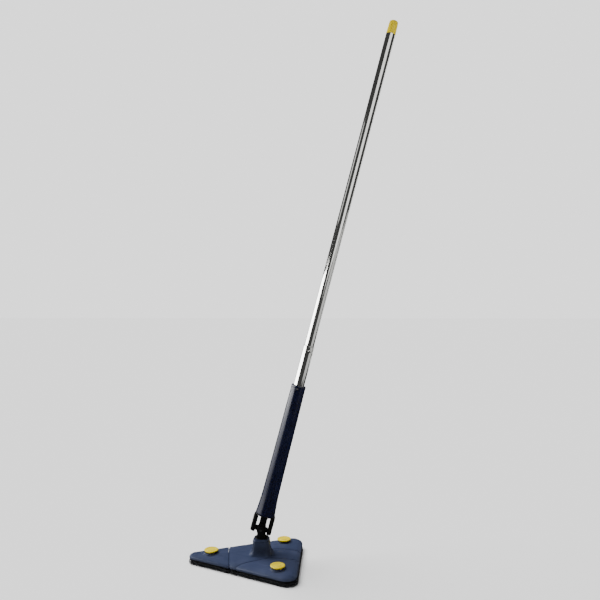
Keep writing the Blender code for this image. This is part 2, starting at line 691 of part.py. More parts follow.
def build_snap():
    """The snap button and the leaf spring that pushes it out."""
    out = snap_direction()
    lift = Vector((0, 0, SNAP_AT))
    button = stepped(lift, out, [(9.6 * MM, SNAP_RADIUS), (13.5 * MM, SNAP_RADIUS), (14.6 * MM, 2.4 * MM)], 24)
    path = [(9.0, 6.0), (9.0, -6.0), (7.6, -13.0), (3.0, -23.0), (-1.5, -26.5), (-6.0, -23.0), (-8.6, -12.0),
            (-9.4, 4.0)]
    bm = bmesh.new()
    across = Vector((out.y, -out.x, 0.0)) * 2.6 * MM
    rows = []
    for reach, height in path:
        middle = out * reach * MM + Vector((0, 0, SNAP_AT + height * MM))
        rows.append((bm.verts.new(middle - across), bm.verts.new(middle + across)))
    for (a, b), (c, d) in zip(rows, rows[1:]):
        bm.faces.new((a, b, d, c))
    spring = from_bmesh(bm)
    thick = spring.modifiers.new("Solidify", "SOLIDIFY")
    thick.thickness = 0.5 * MM
    thick.offset = 0.0
    return button, spring


def build_screw_in_yoke():
    """The screw that holds the lower tube to the yoke's plug."""
    return stepped((0.0, 0.0, YOKE_SCREW_AT), (0, 1, 0), [
        (4 * MM, 1.6 * MM), (12.8 * MM, 1.6 * MM), (12.85 * MM, 3.2 * MM), (14.4 * MM, 2.4 * MM)])


def main():
    """Build every part."""
    global PARTS, CUTTERS, TILT
    clear_scene()
    PARTS = new_collection("triangle_mop")
    CUTTERS = new_collection("cutters")
    TILT = bpy.data.objects.new("pole_frame", None)
    TILT.location = (0.0, 0.0, PIVOT_Z)
    TILT.rotation_euler = (0.0, LEAN, 0.0)
    bpy.context.scene.collection.objects.link(TILT)
    looks = {
        "navy": material("navy_plastic", (0.035, 0.05, 0.10), 0.35),
        "sleeve": material("sleeve_plastic", (0.008, 0.015, 0.06), 0.25),
        "black": material("black_plastic", (0.006, 0.007, 0.010), 0.4),
        "yellow": material("yellow_plastic", (0.62, 0.52, 0.06), 0.35),
        "chrome": material("chrome", (0.75, 0.76, 0.74), 0.12, 1.0),
        "steel": material("steel", (0.55, 0.55, 0.56), 0.3, 1.0),
        "pad": material("pad_fabric", (0.01, 0.012, 0.02), 0.9),
    }
    hinges = wing_hinges()
    buttons = {"tip": TIP_BUTTON, "front": (SIDE_BUTTON[0], -SIDE_BUTTON[1]), "back": SIDE_BUTTON}
    for wing in ("hub", "tip", "front", "back"):
        base, cover, pad = build_plate(wing, hinges, looks)
        if wing == "hub":
            build_neck(cover)
        else:
            add_button(wing, buttons[wing], cover, looks)
            finish(hinges[wing].pin(), f"{wing}_hinge_pin", looks["steel"])
        finish(base, f"{wing}_base", looks["black"])
        finish(cover, f"{wing}_cover", looks["navy"])
        finish(pad, f"{wing}_pad", looks["pad"])
    finish(build_ring(), "neck_ring", looks["navy"])
    clevis, nut = build_swivel()
    finish(clevis, "swivel_clevis", looks["black"])
    finish(nut, "swivel_nut", looks["steel"])
    cross, lean_pin, tilt_pins = build_cross()
    finish(cross, "cross_block", looks["black"], True)
    finish(lean_pin, "lean_pin", looks["steel"], True)
    for name, pin in tilt_pins.items():
        finish(pin, f"tilt_pin_{name}", looks["steel"], True)
    finish(build_yoke(), "pole_yoke", looks["black"], True)
    finish(build_screw_in_yoke(), "yoke_screw", looks["steel"], True)
    finish(build_lower_tube(), "lower_tube", looks["chrome"], True)
    mouth, slide = build_bushes()
    finish(mouth, "tube_mouth_bush", looks["chrome"], True)
    finish(slide, "tube_slide_bush", looks["black"], True)
    for name, piece, look in zip(
            ("grip_sleeve", "sleeve_bush", "sleeve_screw", "draw_block", "draw_pin"), build_sleeve(),
            ("sleeve", "black", "steel", "black", "steel")):
        finish(piece, name, looks[look], True)
    upper, cap = build_upper()
    finish(upper, "upper_tube", looks["chrome"], True)
    finish(cap, "end_cap", looks["yellow"], True)
    button, spring = build_snap()
    finish(button, "snap_button", looks["steel"], True)
    finish(spring, "snap_spring", looks["steel"], True)


if __name__ == "__main__":
    main()
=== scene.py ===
"""Looks of a triangular flat mop: plastic head, padded sole, fork, sleeve and chrome pole.

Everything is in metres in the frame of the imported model. The head's narrow tip points along -X,
its wide edge faces +X, and the pole leans towards +X.
"""

import json
import logging
import math
from dataclasses import dataclass, field
from enum import Enum
from typing import Any, Callable, Iterable, Sequence

import bmesh
import bpy
from mathutils import Matrix, Vector


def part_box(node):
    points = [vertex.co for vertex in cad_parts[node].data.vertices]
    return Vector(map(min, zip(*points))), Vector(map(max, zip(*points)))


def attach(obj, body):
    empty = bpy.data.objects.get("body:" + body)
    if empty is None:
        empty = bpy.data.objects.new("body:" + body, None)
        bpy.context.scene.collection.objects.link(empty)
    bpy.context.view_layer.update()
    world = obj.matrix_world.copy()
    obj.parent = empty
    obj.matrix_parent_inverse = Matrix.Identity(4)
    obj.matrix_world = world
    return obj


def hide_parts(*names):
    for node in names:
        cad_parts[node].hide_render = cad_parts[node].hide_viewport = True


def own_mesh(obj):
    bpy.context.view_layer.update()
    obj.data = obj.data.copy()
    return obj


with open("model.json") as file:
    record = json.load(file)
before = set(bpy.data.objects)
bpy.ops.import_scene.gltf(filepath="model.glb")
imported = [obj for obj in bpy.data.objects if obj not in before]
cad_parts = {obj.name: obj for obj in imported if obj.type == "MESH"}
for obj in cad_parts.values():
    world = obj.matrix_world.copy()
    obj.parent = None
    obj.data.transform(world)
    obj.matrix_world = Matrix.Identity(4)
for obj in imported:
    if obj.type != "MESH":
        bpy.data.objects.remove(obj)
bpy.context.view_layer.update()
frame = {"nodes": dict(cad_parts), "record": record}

MM = 0.001
ROUND_STEPS = 128  # sides of the sleeve and the tubes
AXIS_GAP = 0.02  # radius in millimetres at which a turned shape closes on its axis
LOG = logging.getLogger("flat_mop")
WINGS = ("tip", "front", "back")
PLATES = ("hub", *WINGS)

Outline = Sequence[tuple[float, float]]


class Slot(Enum):
    """The record's material slots."""

    NAVY = "navy_plastic"
    SLEEVE = "sleeve_plastic"
    BLACK = "black_plastic"
    YELLOW = "yellow_plastic"
    CHROME = "chrome"
    STEEL = "steel"
    PAD = "pad_fabric"


def joint(name: str) -> dict[str, Any]:
    """The record's entry for a joint.

    Args:
        name: The joint's name.

    Returns:
        The joint's own dictionary.
    """
    return next(entry for entry in frame["record"]["behaviour"]["joints"] if entry["name"] == name)


def plate_body(plate: str) -> str:
    """The body that a plate, its cover and its pad ride on."""
    return "head" if plate == "hub" else f"{plate}_wing"


PIVOT = Vector(joint("lean_hinge")["pos_m"])
POLE_AXIS = Vector(joint("sleeve_slide")["axis"]).normalized()
LEAN = math.atan2(POLE_AXIS.x, POLE_AXIS.z)
POLE = Matrix.Translation(PIVOT) @ Matrix.Rotation(LEAN, 4, "Y")


# ---------------------------------------------------------------- shader sums


@dataclass(frozen=True)
class Value:
    """A number socket that takes part in Python sums."""

    shader: "Shader"
    socket: bpy.types.NodeSocket

    def __add__(self, other: Any) -> "Value":
        """Sum."""
        return self.shader.math("ADD", self, other)

    def __sub__(self, other: Any) -> "Value":
        """Difference."""
        return self.shader.math("SUBTRACT", self, other)

    def __rsub__(self, other: Any) -> "Value":
        """Difference from a plain number."""
        return self.shader.math("SUBTRACT", other, self)

    def __mul__(self, other: Any) -> "Value":
        """Product."""
        return self.shader.math("MULTIPLY", self, other)

    __radd__ = __add__
    __rmul__ = __mul__


class Shader:
    """A material whose nodes are made by one method."""

    def __init__(self, name: str) -> None:
        """Start from a plain Principled material.

        Args:
            name: The material's name.
        """
        self.material = bpy.data.materials.new(name)
        self.material.use_nodes = True
        self.tree = self.material.node_tree
        self.surface = self.tree.nodes["Principled BSDF"]

    def node(self, kind: str, settings: dict[str, Any], inputs: dict[Any, Any]) -> bpy.types.Node:
        """Add a node.

        Args:
            kind: The node's type.
            settings: Its properties, set first.
            inputs: Its sockets' values or links.

        Returns:
            The new node.
        """
        made = self.tree.nodes.new(kind)
        for key, value in settings.items():
            setattr(made, key, value)
        for key, value in inputs.items():
            self.feed(made.inputs[key], value)
        return made

    def feed(self, socket: bpy.types.NodeSocket, value: Any) -> None:
        """Link or set one socket.

        Args:
            socket: The input to fill.
            value: A Value, a socket or a plain value.
        """
        if isinstance(value, Value):
            value = value.socket
        if isinstance(value, bpy.types.NodeSocket):
            self.tree.links.new(value, socket)
        else:
            socket.default_value = value

    def math(self, operation: str, first: Any, second: Any) -> Value:
        """A Math node on two values."""
        made = self.node("ShaderNodeMath", {"operation": operation}, {0: first, 1: second})
        return Value(self, made.outputs[0])

    def place(self, stretch: Sequence[float] = (1.0, 1.0, 1.0),
              on_pole: bool = False) -> bpy.types.NodeSocket:
        """Object coordinates, stretched, and along the pole where asked.

        Args:
            stretch: Factors along the three axes.
            on_pole: Whether Z runs along the pole.

        Returns:
            The vector socket.
        """
        where = self.node("ShaderNodeTexCoord", {}, {}).outputs["Object"]
        if on_pole:
            where = self.node("ShaderNodeMapping", {"vector_type": "TEXTURE"}, {
                "Vector": where, "Location": PIVOT, "Rotation": (0.0, LEAN, 0.0)}).outputs[0]
        return self.node("ShaderNodeMapping", {}, {"Vector": where, "Scale": stretch}).outputs[0]

    def noise(self, where: bpy.types.NodeSocket, scale: float, detail: float = 3.0) -> Value:
        """A noise value from 0 to 1."""
        made = self.node("ShaderNodeTexNoise", {}, {
            "Vector": where, "Scale": scale, "Detail": detail})
        return Value(self, made.outputs["Fac"])

    def band(self, value: Value, low: float, high: float) -> Value:
        """Stretch the part of a value between two limits to 0 to 1."""
        made = self.node("ShaderNodeMapRange", {"interpolation_type": "SMOOTHSTEP"}, {
            "Value": value, "From Min": low, "From Max": high})
        return Value(self, made.outputs[0])

    def blend(self, factor: Value, first: Any, second: Any) -> bpy.types.NodeSocket:
        """Mix two colours."""
        made = self.node("ShaderNodeMix", {"data_type": "RGBA"}, {0: factor, 6: first, 7: second})
        return made.outputs[2]

    def bump(self, height: Value, depth: float,
             under: bpy.types.NodeSocket | None = None) -> bpy.types.NodeSocket:
        """Raise a height map.

        Args:
            height: The height from 0 to 1.
            depth: The size of a full step in metres.
            under: The normal that this one lies on.

        Returns:
            The normal socket.
        """
        inputs = {"Height": height, "Distance": depth, "Strength": 1.0}
        if under is not None:
            inputs["Normal"] = under
        return self.node("ShaderNodeBump", {}, inputs).outputs[0]


def colour(red: float, green: float, blue: float) -> tuple[float, float, float, float]:
    """An opaque colour."""
    return (red, green, blue, 1.0)


@dataclass(frozen=True)
class MouldedPlastic:
    """Injection-moulded plastic with a spark-eroded grain, faint flow marks, dust and fine scratches."""

    name: str
    base: tuple[float, float, float, float]
    worn: tuple[float, float, float, float]
    roughness: float
    grain: float = 0.02 * MM
    grain_scale: float = 1400.0
    coat: float = 0.0
    gloss: float = 0.3
    on_pole: bool = False

    def build(self) -> bpy.types.Material:
        """Make the material."""
        shader = Shader(self.name)
        flat = shader.place(on_pole=self.on_pole)
        flow = shader.noise(flat, 22.0, 5.0)
        dust = shader.band(shader.noise(flat, 160.0, 6.0), 0.58, 0.74)
        streak = shader.noise(shader.place((900.0, 60.0, 40.0), self.on_pole), 1.0, 2.0)
        scratch = shader.band(streak, 0.68, 0.72)
        speck = shader.noise(flat, self.grain_scale, 2.0)
        tone = shader.blend(shader.band(flow, 0.35, 0.75), self.base, self.worn)
        tone = shader.blend(dust * 0.22 + scratch * 0.10, tone, self.worn)
        shader.feed(shader.surface.inputs["Base Color"], tone)
        rough = flow * 0.10 + dust * 0.12 + scratch * 0.10 + (self.roughness - 0.05)
        shader.feed(shader.surface.inputs["Roughness"], rough)
        shader.surface.inputs["Coat Weight"].default_value = self.coat
        shader.surface.inputs["Coat Roughness"].default_value = 0.12
        shader.surface.inputs["Specular IOR Level"].default_value = self.gloss
        fine = shader.bump(speck, self.grain)
        normal = shader.bump(flow + scratch * -0.3, 0.05 * MM, fine)
        shader.feed(shader.surface.inputs["Normal"], normal)
        return shader.material


@dataclass(frozen=True)
class DrawnMetal:
    """Metal with fine lengthwise draw lines, smudges and small pits."""

    name: str
    base: tuple[float, float, float, float]
    tarnish: tuple[float, float, float, float]
    roughness: float
    lines: float
    on_pole: bool = True

    def build(self) -> bpy.types.Material:
        """Make the material."""
        shader = Shader(self.name)
        along = shader.noise(shader.place((700.0, 700.0, 6.0), self.on_pole), 1.0, 3.0)
        flat = shader.place(on_pole=self.on_pole)
        smudge = shader.band(shader.noise(flat, 28.0, 5.0), 0.45, 0.75)
        pit = shader.band(shader.noise(flat, 620.0, 2.0), 0.74, 0.80)
        tone = shader.blend(smudge * 0.5 + pit * 0.5, self.base, self.tarnish)
        shader.feed(shader.surface.inputs["Base Color"], tone)
        shader.surface.inputs["Metallic"].default_value = 1.0
        rough = smudge * 0.08 + along * self.lines + self.roughness
        shader.feed(shader.surface.inputs["Roughness"], rough)
        shader.feed(shader.surface.inputs["Normal"], shader.bump(along - pit, self.lines * 0.06 * MM))
        return shader.material


WAVE_UNIT = 20.0  # radians of a wave texture for each unit of its scale


@dataclass(frozen=True)
class Microfibre:
    """Dense dark microfibre cloth: a fine woven ground under short tangled pile."""

    name: str
    base: tuple[float, float, float, float]
    light: tuple[float, float, float, float]
    thread: float = 1.1 * MM

    def build(self) -> bpy.types.Material:
        """Make the material."""
        shader = Shader(self.name)
        flat = shader.place()
        turns = 2 * math.pi / self.thread
        weft, warp = (
            shader.node("ShaderNodeTexWave", {"bands_direction": way, "wave_profile": "SIN"}, {
                "Vector": flat, "Scale": turns / WAVE_UNIT, "Distortion": 1.5, "Detail": 2.0})
            for way in ("X", "Y"))
        weave = Value(shader, weft.outputs["Fac"]) * Value(shader, warp.outputs["Fac"])
        tangle = shader.noise(flat, 900.0, 5.0)
        soil = shader.noise(flat, 30.0, 4.0)
        mixture = tangle * 0.5 + weave * 0.3 + shader.band(soil, 0.5, 0.8) * 0.2
        tone = shader.blend(mixture, self.base, self.light)
        shader.feed(shader.surface.inputs["Base Color"], tone)
        shader.feed(shader.surface.inputs["Roughness"], soil * 0.1 + 0.85)
        shader.surface.inputs["Sheen Weight"].default_value = 0.06
        shader.surface.inputs["Sheen Roughness"].default_value = 0.5
        normal = shader.bump(tangle, 0.5 * MM, shader.bump(weave, 0.25 * MM))
        shader.feed(shader.surface.inputs["Normal"], normal)
        return shader.material


FINISHES: dict[Slot, Any] = {
    Slot.NAVY: MouldedPlastic(
        "navy plate plastic", colour(0.029, 0.038, 0.076), colour(0.042, 0.052, 0.098), 0.40,
        gloss=0.13),
    Slot.SLEEVE: MouldedPlastic(
        "deep navy sleeve plastic", colour(0.0008, 0.0022, 0.022), colour(0.002, 0.005, 0.032), 0.24,
        grain=0.006 * MM, gloss=0.5, on_pole=True),
    Slot.BLACK: MouldedPlastic(
        "black joint plastic", colour(0.0010, 0.0012, 0.0020), colour(0.004, 0.004, 0.006), 0.42,
        gloss=0.2),
    Slot.YELLOW: MouldedPlastic(
        "yellow plastic", colour(0.74, 0.55, 0.003), colour(0.76, 0.60, 0.015), 0.40, grain=0.015 * MM),
    Slot.CHROME: DrawnMetal(
        "chromed tube", colour(0.86, 0.86, 0.83), colour(0.66, 0.66, 0.62), 0.05, 0.05),
    Slot.STEEL: DrawnMetal(
        "dark zinc-plated steel", colour(0.13, 0.13, 0.14), colour(0.07, 0.07, 0.07), 0.24, 0.22,
        on_pole=False),
    Slot.PAD: Microfibre(
        "dark microfibre", colour(0.002, 0.003, 0.006), colour(0.009, 0.012, 0.020)),
}


class Finishes:
    """The materials, made once each."""

    def __init__(self) -> None:
        """Build every finish."""
        self.made = {slot: finish.build() for slot, finish in FINISHES.items()}

    def dress(self, piece: bpy.types.Object, slot: Slot) -> None:
        """Give a piece one of the finishes."""
        piece.data.materials.clear()
        piece.data.materials.append(self.made[slot])


# ---------------------------------------------------------------- mesh tools


def smooth_mesh(mesh: bpy.types.Mesh, degrees: float = 32.0) -> bpy.types.Mesh:
    """Shade a mesh smooth but for its sharp edges."""
    mesh.shade_smooth()
    mesh.set_sharp_from_angle(angle=math.radians(degrees))
    return mesh


def piece_from(name: str, mesh: bpy.types.Mesh) -> bpy.types.Object:
    """Put a mesh in the scene."""
    made = bpy.data.objects.new(name, mesh)
    bpy.context.scene.collection.objects.link(made)
    return made


def from_bmesh(name: str, bm: bmesh.types.BMesh, degrees: float = 32.0) -> bpy.types.Object:
    """Turn a bmesh into a piece with outward faces.

    Args:
        name: The piece's name.
        bm: The mesh, which is freed.
        degrees: The angle past which an edge stays sharp.

    Returns:
        The new object.
    """
    bmesh.ops.remove_doubles(bm, verts=bm.verts, dist=1e-7)
    bmesh.ops.recalc_face_normals(bm, faces=bm.faces)
    if bm.calc_volume(signed=True) < 0.0:
        bmesh.ops.reverse_faces(bm, faces=bm.faces)
    mesh = bpy.data.meshes.new(name)
    bm.to_mesh(mesh)
    bm.free()
    return piece_from(name, smooth_mesh(mesh, degrees))


def loft(name: str, rings: Sequence[Sequence[Any]], closed: bool = False) -> bpy.types.Object:
    """Skin equal rings of points.

    Args:
        name: The piece's name.
        rings: The rings, in order.
        closed: Whether the last ring joins the first, as on a tube's section.

    Returns:
        The new object.
    """
    bm = bmesh.new()
    loops = [[bm.verts.new(point) for point in ring] for ring in rings]
    pairs = list(zip(loops, loops[1:]))
    if closed:
        pairs.append((loops[-1], loops[0]))
    for lower, upper in pairs:
        for index, corner in enumerate(lower):
            after = (index + 1) % len(lower)
            bm.faces.new((corner, lower[after], upper[after], upper[index]))
    if not closed:
        bm.faces.new(list(reversed(loops[0])))
        bm.faces.new(loops[-1])
    return from_bmesh(name, bm)


def turned(name: str, profile: Outline, place: Matrix, steps: int = 96,
           closed: bool = False) -> bpy.types.Object:
    """Turn a profile of (radius, height) points about Z and put it in place.

    Args:
        name: The piece's name.
        profile: The outline, in millimetres.
        place: Where the turned shape goes.
        steps: Sides round the axis.
        closed: Whether the profile is a ring's section.

    Returns:
        The new object.
    """
    rings = []
    for radius, height in profile:
        ring = []
        for step in range(steps):
            angle = 2 * math.pi * step / steps
            across, along = radius * MM * math.cos(angle), radius * MM * math.sin(angle)
            ring.append(place @ Vector((across, along, height * MM)))
        rings.append(ring)
    return loft(name, rings, closed)


def flowing(points: Outline, per_span: int = 5) -> list[tuple[float, float]]:
    """A smooth line through a few points.

    Args:
        points: The points to pass through.
        per_span: New points for each span.

    Returns:
        The finer line, with the same ends.
    """
    ends = [points[0], *points, points[-1]]
    line = []
    for a, b, c, d in zip(ends, ends[1:], ends[2:], ends[3:]):
        for step in range(per_span):
            t = step / per_span
            line.append(tuple(
                0.5 * (2 * q + (r - p) * t + (2 * p - 5 * q + 4 * r - s) * t * t
                       + (3 * q - p - 3 * r + s) * t ** 3)
                for p, q, r, s in zip(a, b, c, d)))
    return [*line, tuple(points[-1])]


CORNER_SHARE = 0.45  # most of a side that one round corner may take


def rounded(points: Outline, radius: float, steps: int = 4) -> list[tuple[float, float]]:
    """Round the inner corners of an open line.

    Args:
        points: The line's corners.
        radius: The most that a corner is cut back.
        steps: Spans in each round.

    Returns:
        The line with round corners.
    """
    line = [tuple(points[0])]
    for a, b, c in zip(points, points[1:], points[2:]):
        corner = Vector(b)
        back = Vector(a) - corner
        ahead = Vector(c) - corner
        reach = min(radius, back.length * CORNER_SHARE, ahead.length * CORNER_SHARE)
        start = corner + back.normalized() * reach
        end = corner + ahead.normalized() * reach
        for step in range(steps + 1):
            t = step / steps
            line.append(tuple(start * (1 - t) ** 2 + corner * (2 * t * (1 - t)) + end * t * t))
    return [*line, tuple(points[-1])]


def applied(piece: bpy.types.Object) -> bpy.types.Object:
    """Turn a piece with modifiers into a plain mesh."""
    graph = bpy.context.evaluated_depsgraph_get()
    mesh = bpy.data.meshes.new_from_object(piece.evaluated_get(graph), depsgraph=graph)
    piece.modifiers.clear()
    piece.data = mesh
    return piece


def cut(piece: bpy.types.Object, tools: Iterable[bpy.types.Object],
        operation: str = "DIFFERENCE") -> bpy.types.Object:
    """Apply Boolean steps and delete their tools.

    Args:
        piece: The piece to change.
        tools: The cutting solids.
        operation: The Boolean's kind.

    Returns:
        The changed piece.
    """
    used = list(tools)
    for tool in used:
        step = piece.modifiers.new("cut", "BOOLEAN")
        step.operation = operation
        step.object = tool
        step.solver = "EXACT"
    applied(piece)
    for tool in used:
        bpy.data.objects.remove(tool, do_unlink=True)
    return piece


def softened(piece: bpy.types.Object, width: float, segments: int = 2,
             degrees: float = 38.0) -> bpy.types.Object:
    """Round a piece's sharp edges.

    Args:
        piece: The piece.
        width: The round's width in metres.
        segments: Spans across the round.
        degrees: The angle past which an edge is rounded.

    Returns:
        The changed piece.
    """
    bevel = piece.modifiers.new("soft edges", "BEVEL")
    bevel.width = width
    bevel.segments = segments
    bevel.limit_method = "ANGLE"
    bevel.angle_limit = math.radians(degrees)
    bevel.use_clamp_overlap = True
    bevel.harden_normals = False
    applied(piece)
    smooth_mesh(piece.data, 40.0)
    return piece


CAD_MERGE = 2e-6  # points of a CAD node nearer than this are one


def refined(node: str, width: float) -> bpy.types.Object:
    """A copy of a CAD node with rounded edges.

    Args:
        node: The CAD node.
        width: The round's width in metres.

    Returns:
        The new piece, named after the node.
    """
    bm = bmesh.new()
    bm.from_mesh(frame["nodes"][node].data)
    bmesh.ops.remove_doubles(bm, verts=bm.verts, dist=CAD_MERGE)
    bmesh.ops.dissolve_limit(bm, angle_limit=math.radians(1.0), verts=bm.verts, edges=bm.edges)
    mesh = bpy.data.meshes.new(f"{node}_fine")
    bm.to_mesh(mesh)
    bm.free()
    return softened(piece_from(f"{node}_fine", smooth_mesh(mesh)), width)


def merged(node: str) -> bpy.types.Object:
    """A copy of a CAD node with joined points, named after the node."""
    bm = bmesh.new()
    bm.from_mesh(frame["nodes"][node].data)
    return from_bmesh(f"{node}_fine", bm)


class Workshop:
    """Hands finished pieces to their bodies, slots and CAD nodes."""

    def __init__(self, finishes: Finishes) -> None:
        """Keep the finishes.

        Args:
            finishes: The materials.
        """
        self.finishes = finishes

    def deliver(self, piece: bpy.types.Object, body: str, slot: Slot, *nodes: str) -> bpy.types.Object:
        """Dress a piece, let it ride and let it stand for CAD nodes.

        Args:
            piece: The finished piece.
            body: The body that it rides on.
            slot: Its finish.
            nodes: The CAD nodes that it replaces.

        Returns:
            The same piece.
        """
        self.finishes.dress(piece, slot)
        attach(piece, body)
        if nodes:
            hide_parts(*nodes)
        LOG.info("%s rides on %s with %d faces", piece.name, body, len(piece.data.polygons))
        return piece


# ---------------------------------------------------------------- head plan


@dataclass(frozen=True)
class HeadPlan:
    """Plan of the triangular head, in millimetres."""

    tip_x: float = -190.5
    wide_x: float = 91.0
    side_angle: float = math.radians(24.27)
    tip_radius: float = 14.0
    wide_radius: float = 25.0
    steps: int = 20
    tip_seam_x: float = -76.0
    tip_seam_skew: float = -0.179
    side_seam_y: float = 27.0
    side_seam_bend_x: float = 20.0
    side_seam_slope: float = 0.507
    tip_gap: float = 2.6
    side_gap: float = 1.6
    far: float = 170.0
    below: float = -10.0
    above: float = 70.0

    def outline(self, inset: float) -> list[Vector]:
        """Points of the rounded triangle, moved inwards.

        Args:
            inset: How far each side moves in.

        Returns:
            The points, counter-clockwise.
        """
        length = self.wide_x - self.tip_x
        half = length * math.tan(self.side_angle)
        inradius = length * math.sin(self.side_angle) / (1.0 + math.sin(self.side_angle))
        heart = Vector((self.wide_x - inradius, 0.0))
        sharp = ((self.tip_x, 0.0), (self.wide_x, -half), (self.wide_x, half))
        corners = [heart + (Vector(corner) - heart) * (1.0 - inset / inradius) for corner in sharp]
        points = []
        for index, corner in enumerate(corners):
            before = (corner - corners[index - 1]).normalized()
            after = (corners[(index + 1) % 3] - corner).normalized()
            radius = max((self.tip_radius if index == 0 else self.wide_radius) - inset, 1.5)
            half_turn = before.angle(after) / 2
            centre = corner + (after - before).normalized() * (radius / math.cos(half_turn))
            start = Vector((before.y, -before.x))
            for step in range(self.steps + 1):
                turn = Matrix.Rotation(2 * half_turn * step / self.steps, 2)
                points.append(centre + turn @ start * radius)
        return points

    def tip_region(self, gap: float) -> list[tuple[float, float]]:
        """Everything on the tip's side of the tip seam."""
        high = self.tip_seam_x + self.tip_seam_skew * self.far - gap
        low = self.tip_seam_x - self.tip_seam_skew * self.far - gap
        return [(high, self.far), (-2 * self.far, self.far),
                (-2 * self.far, -self.far), (low, -self.far)]

    def side_region(self, gap: float, side: int) -> list[tuple[float, float]]:
        """A side wing's plan: side is -1 for the front, 1 for the back."""
        y = self.side_seam_y + gap
        run = self.far * 0.9
        bend = self.side_seam_bend_x
        return [(bend - run, side * (y + run * self.side_seam_slope)), (bend, side * y),
                (self.far, side * y), (self.far, side * self.far), (bend - run, side * self.far)]

    def regions(self, tip_gap: float, side_gap: float) -> dict[str, list[tuple[float, float]]]:
        """The three wing plans by wing."""
        return {"tip": self.tip_region(tip_gap), "front": self.side_region(side_gap, -1),
                "back": self.side_region(side_gap, 1)}

    def keep(self, piece: bpy.types.Object, wing: str, tip_gap: float,
             side_gap: float) -> bpy.types.Object:
        """Keep one wing's share of a full-size shape, or the hub's.

        Args:
            piece: The full-size shape.
            wing: A wing's name, or "hub".
            tip_gap: Clearance at the tip seam.
            side_gap: Clearance at the side seams.

        Returns:
            The cut piece.
        """
        if wing == "hub":
            plans = self.regions(-tip_gap, -side_gap).values()
            return cut(piece, [self.prism(plan, self.below, self.above) for plan in plans])
        plan = self.regions(tip_gap, side_gap)[wing]
        return cut(piece, [self.prism(plan, self.below, self.above)], "INTERSECT")

    @staticmethod
    def prism(plan: Sequence[Any], bottom: float, top: float) -> bpy.types.Object:
        """A straight-sided solid over a plan."""
        return loft("prism", [[(p[0] * MM, p[1] * MM, height * MM) for p in plan]
                              for height in (bottom, top)])


def rounded_box(half_x: float, half_y: float, radius: float, height: float,
                steps: int = 10) -> list[Vector]:
    """A ring of points on a rounded rectangle, in metres, from sizes in millimetres."""
    ring = []
    for quarter, (sign_x, sign_y) in enumerate(((1, 1), (-1, 1), (-1, -1), (1, -1))):
        centre = Vector((sign_x * (half_x - radius), sign_y * (half_y - radius), height))
        for step in range(steps + 1):
            angle = (quarter + step / steps) * math.pi / 2
            ring.append((centre + Vector((math.cos(angle), math.sin(angle), 0.0)) * radius) * MM)
    return ring


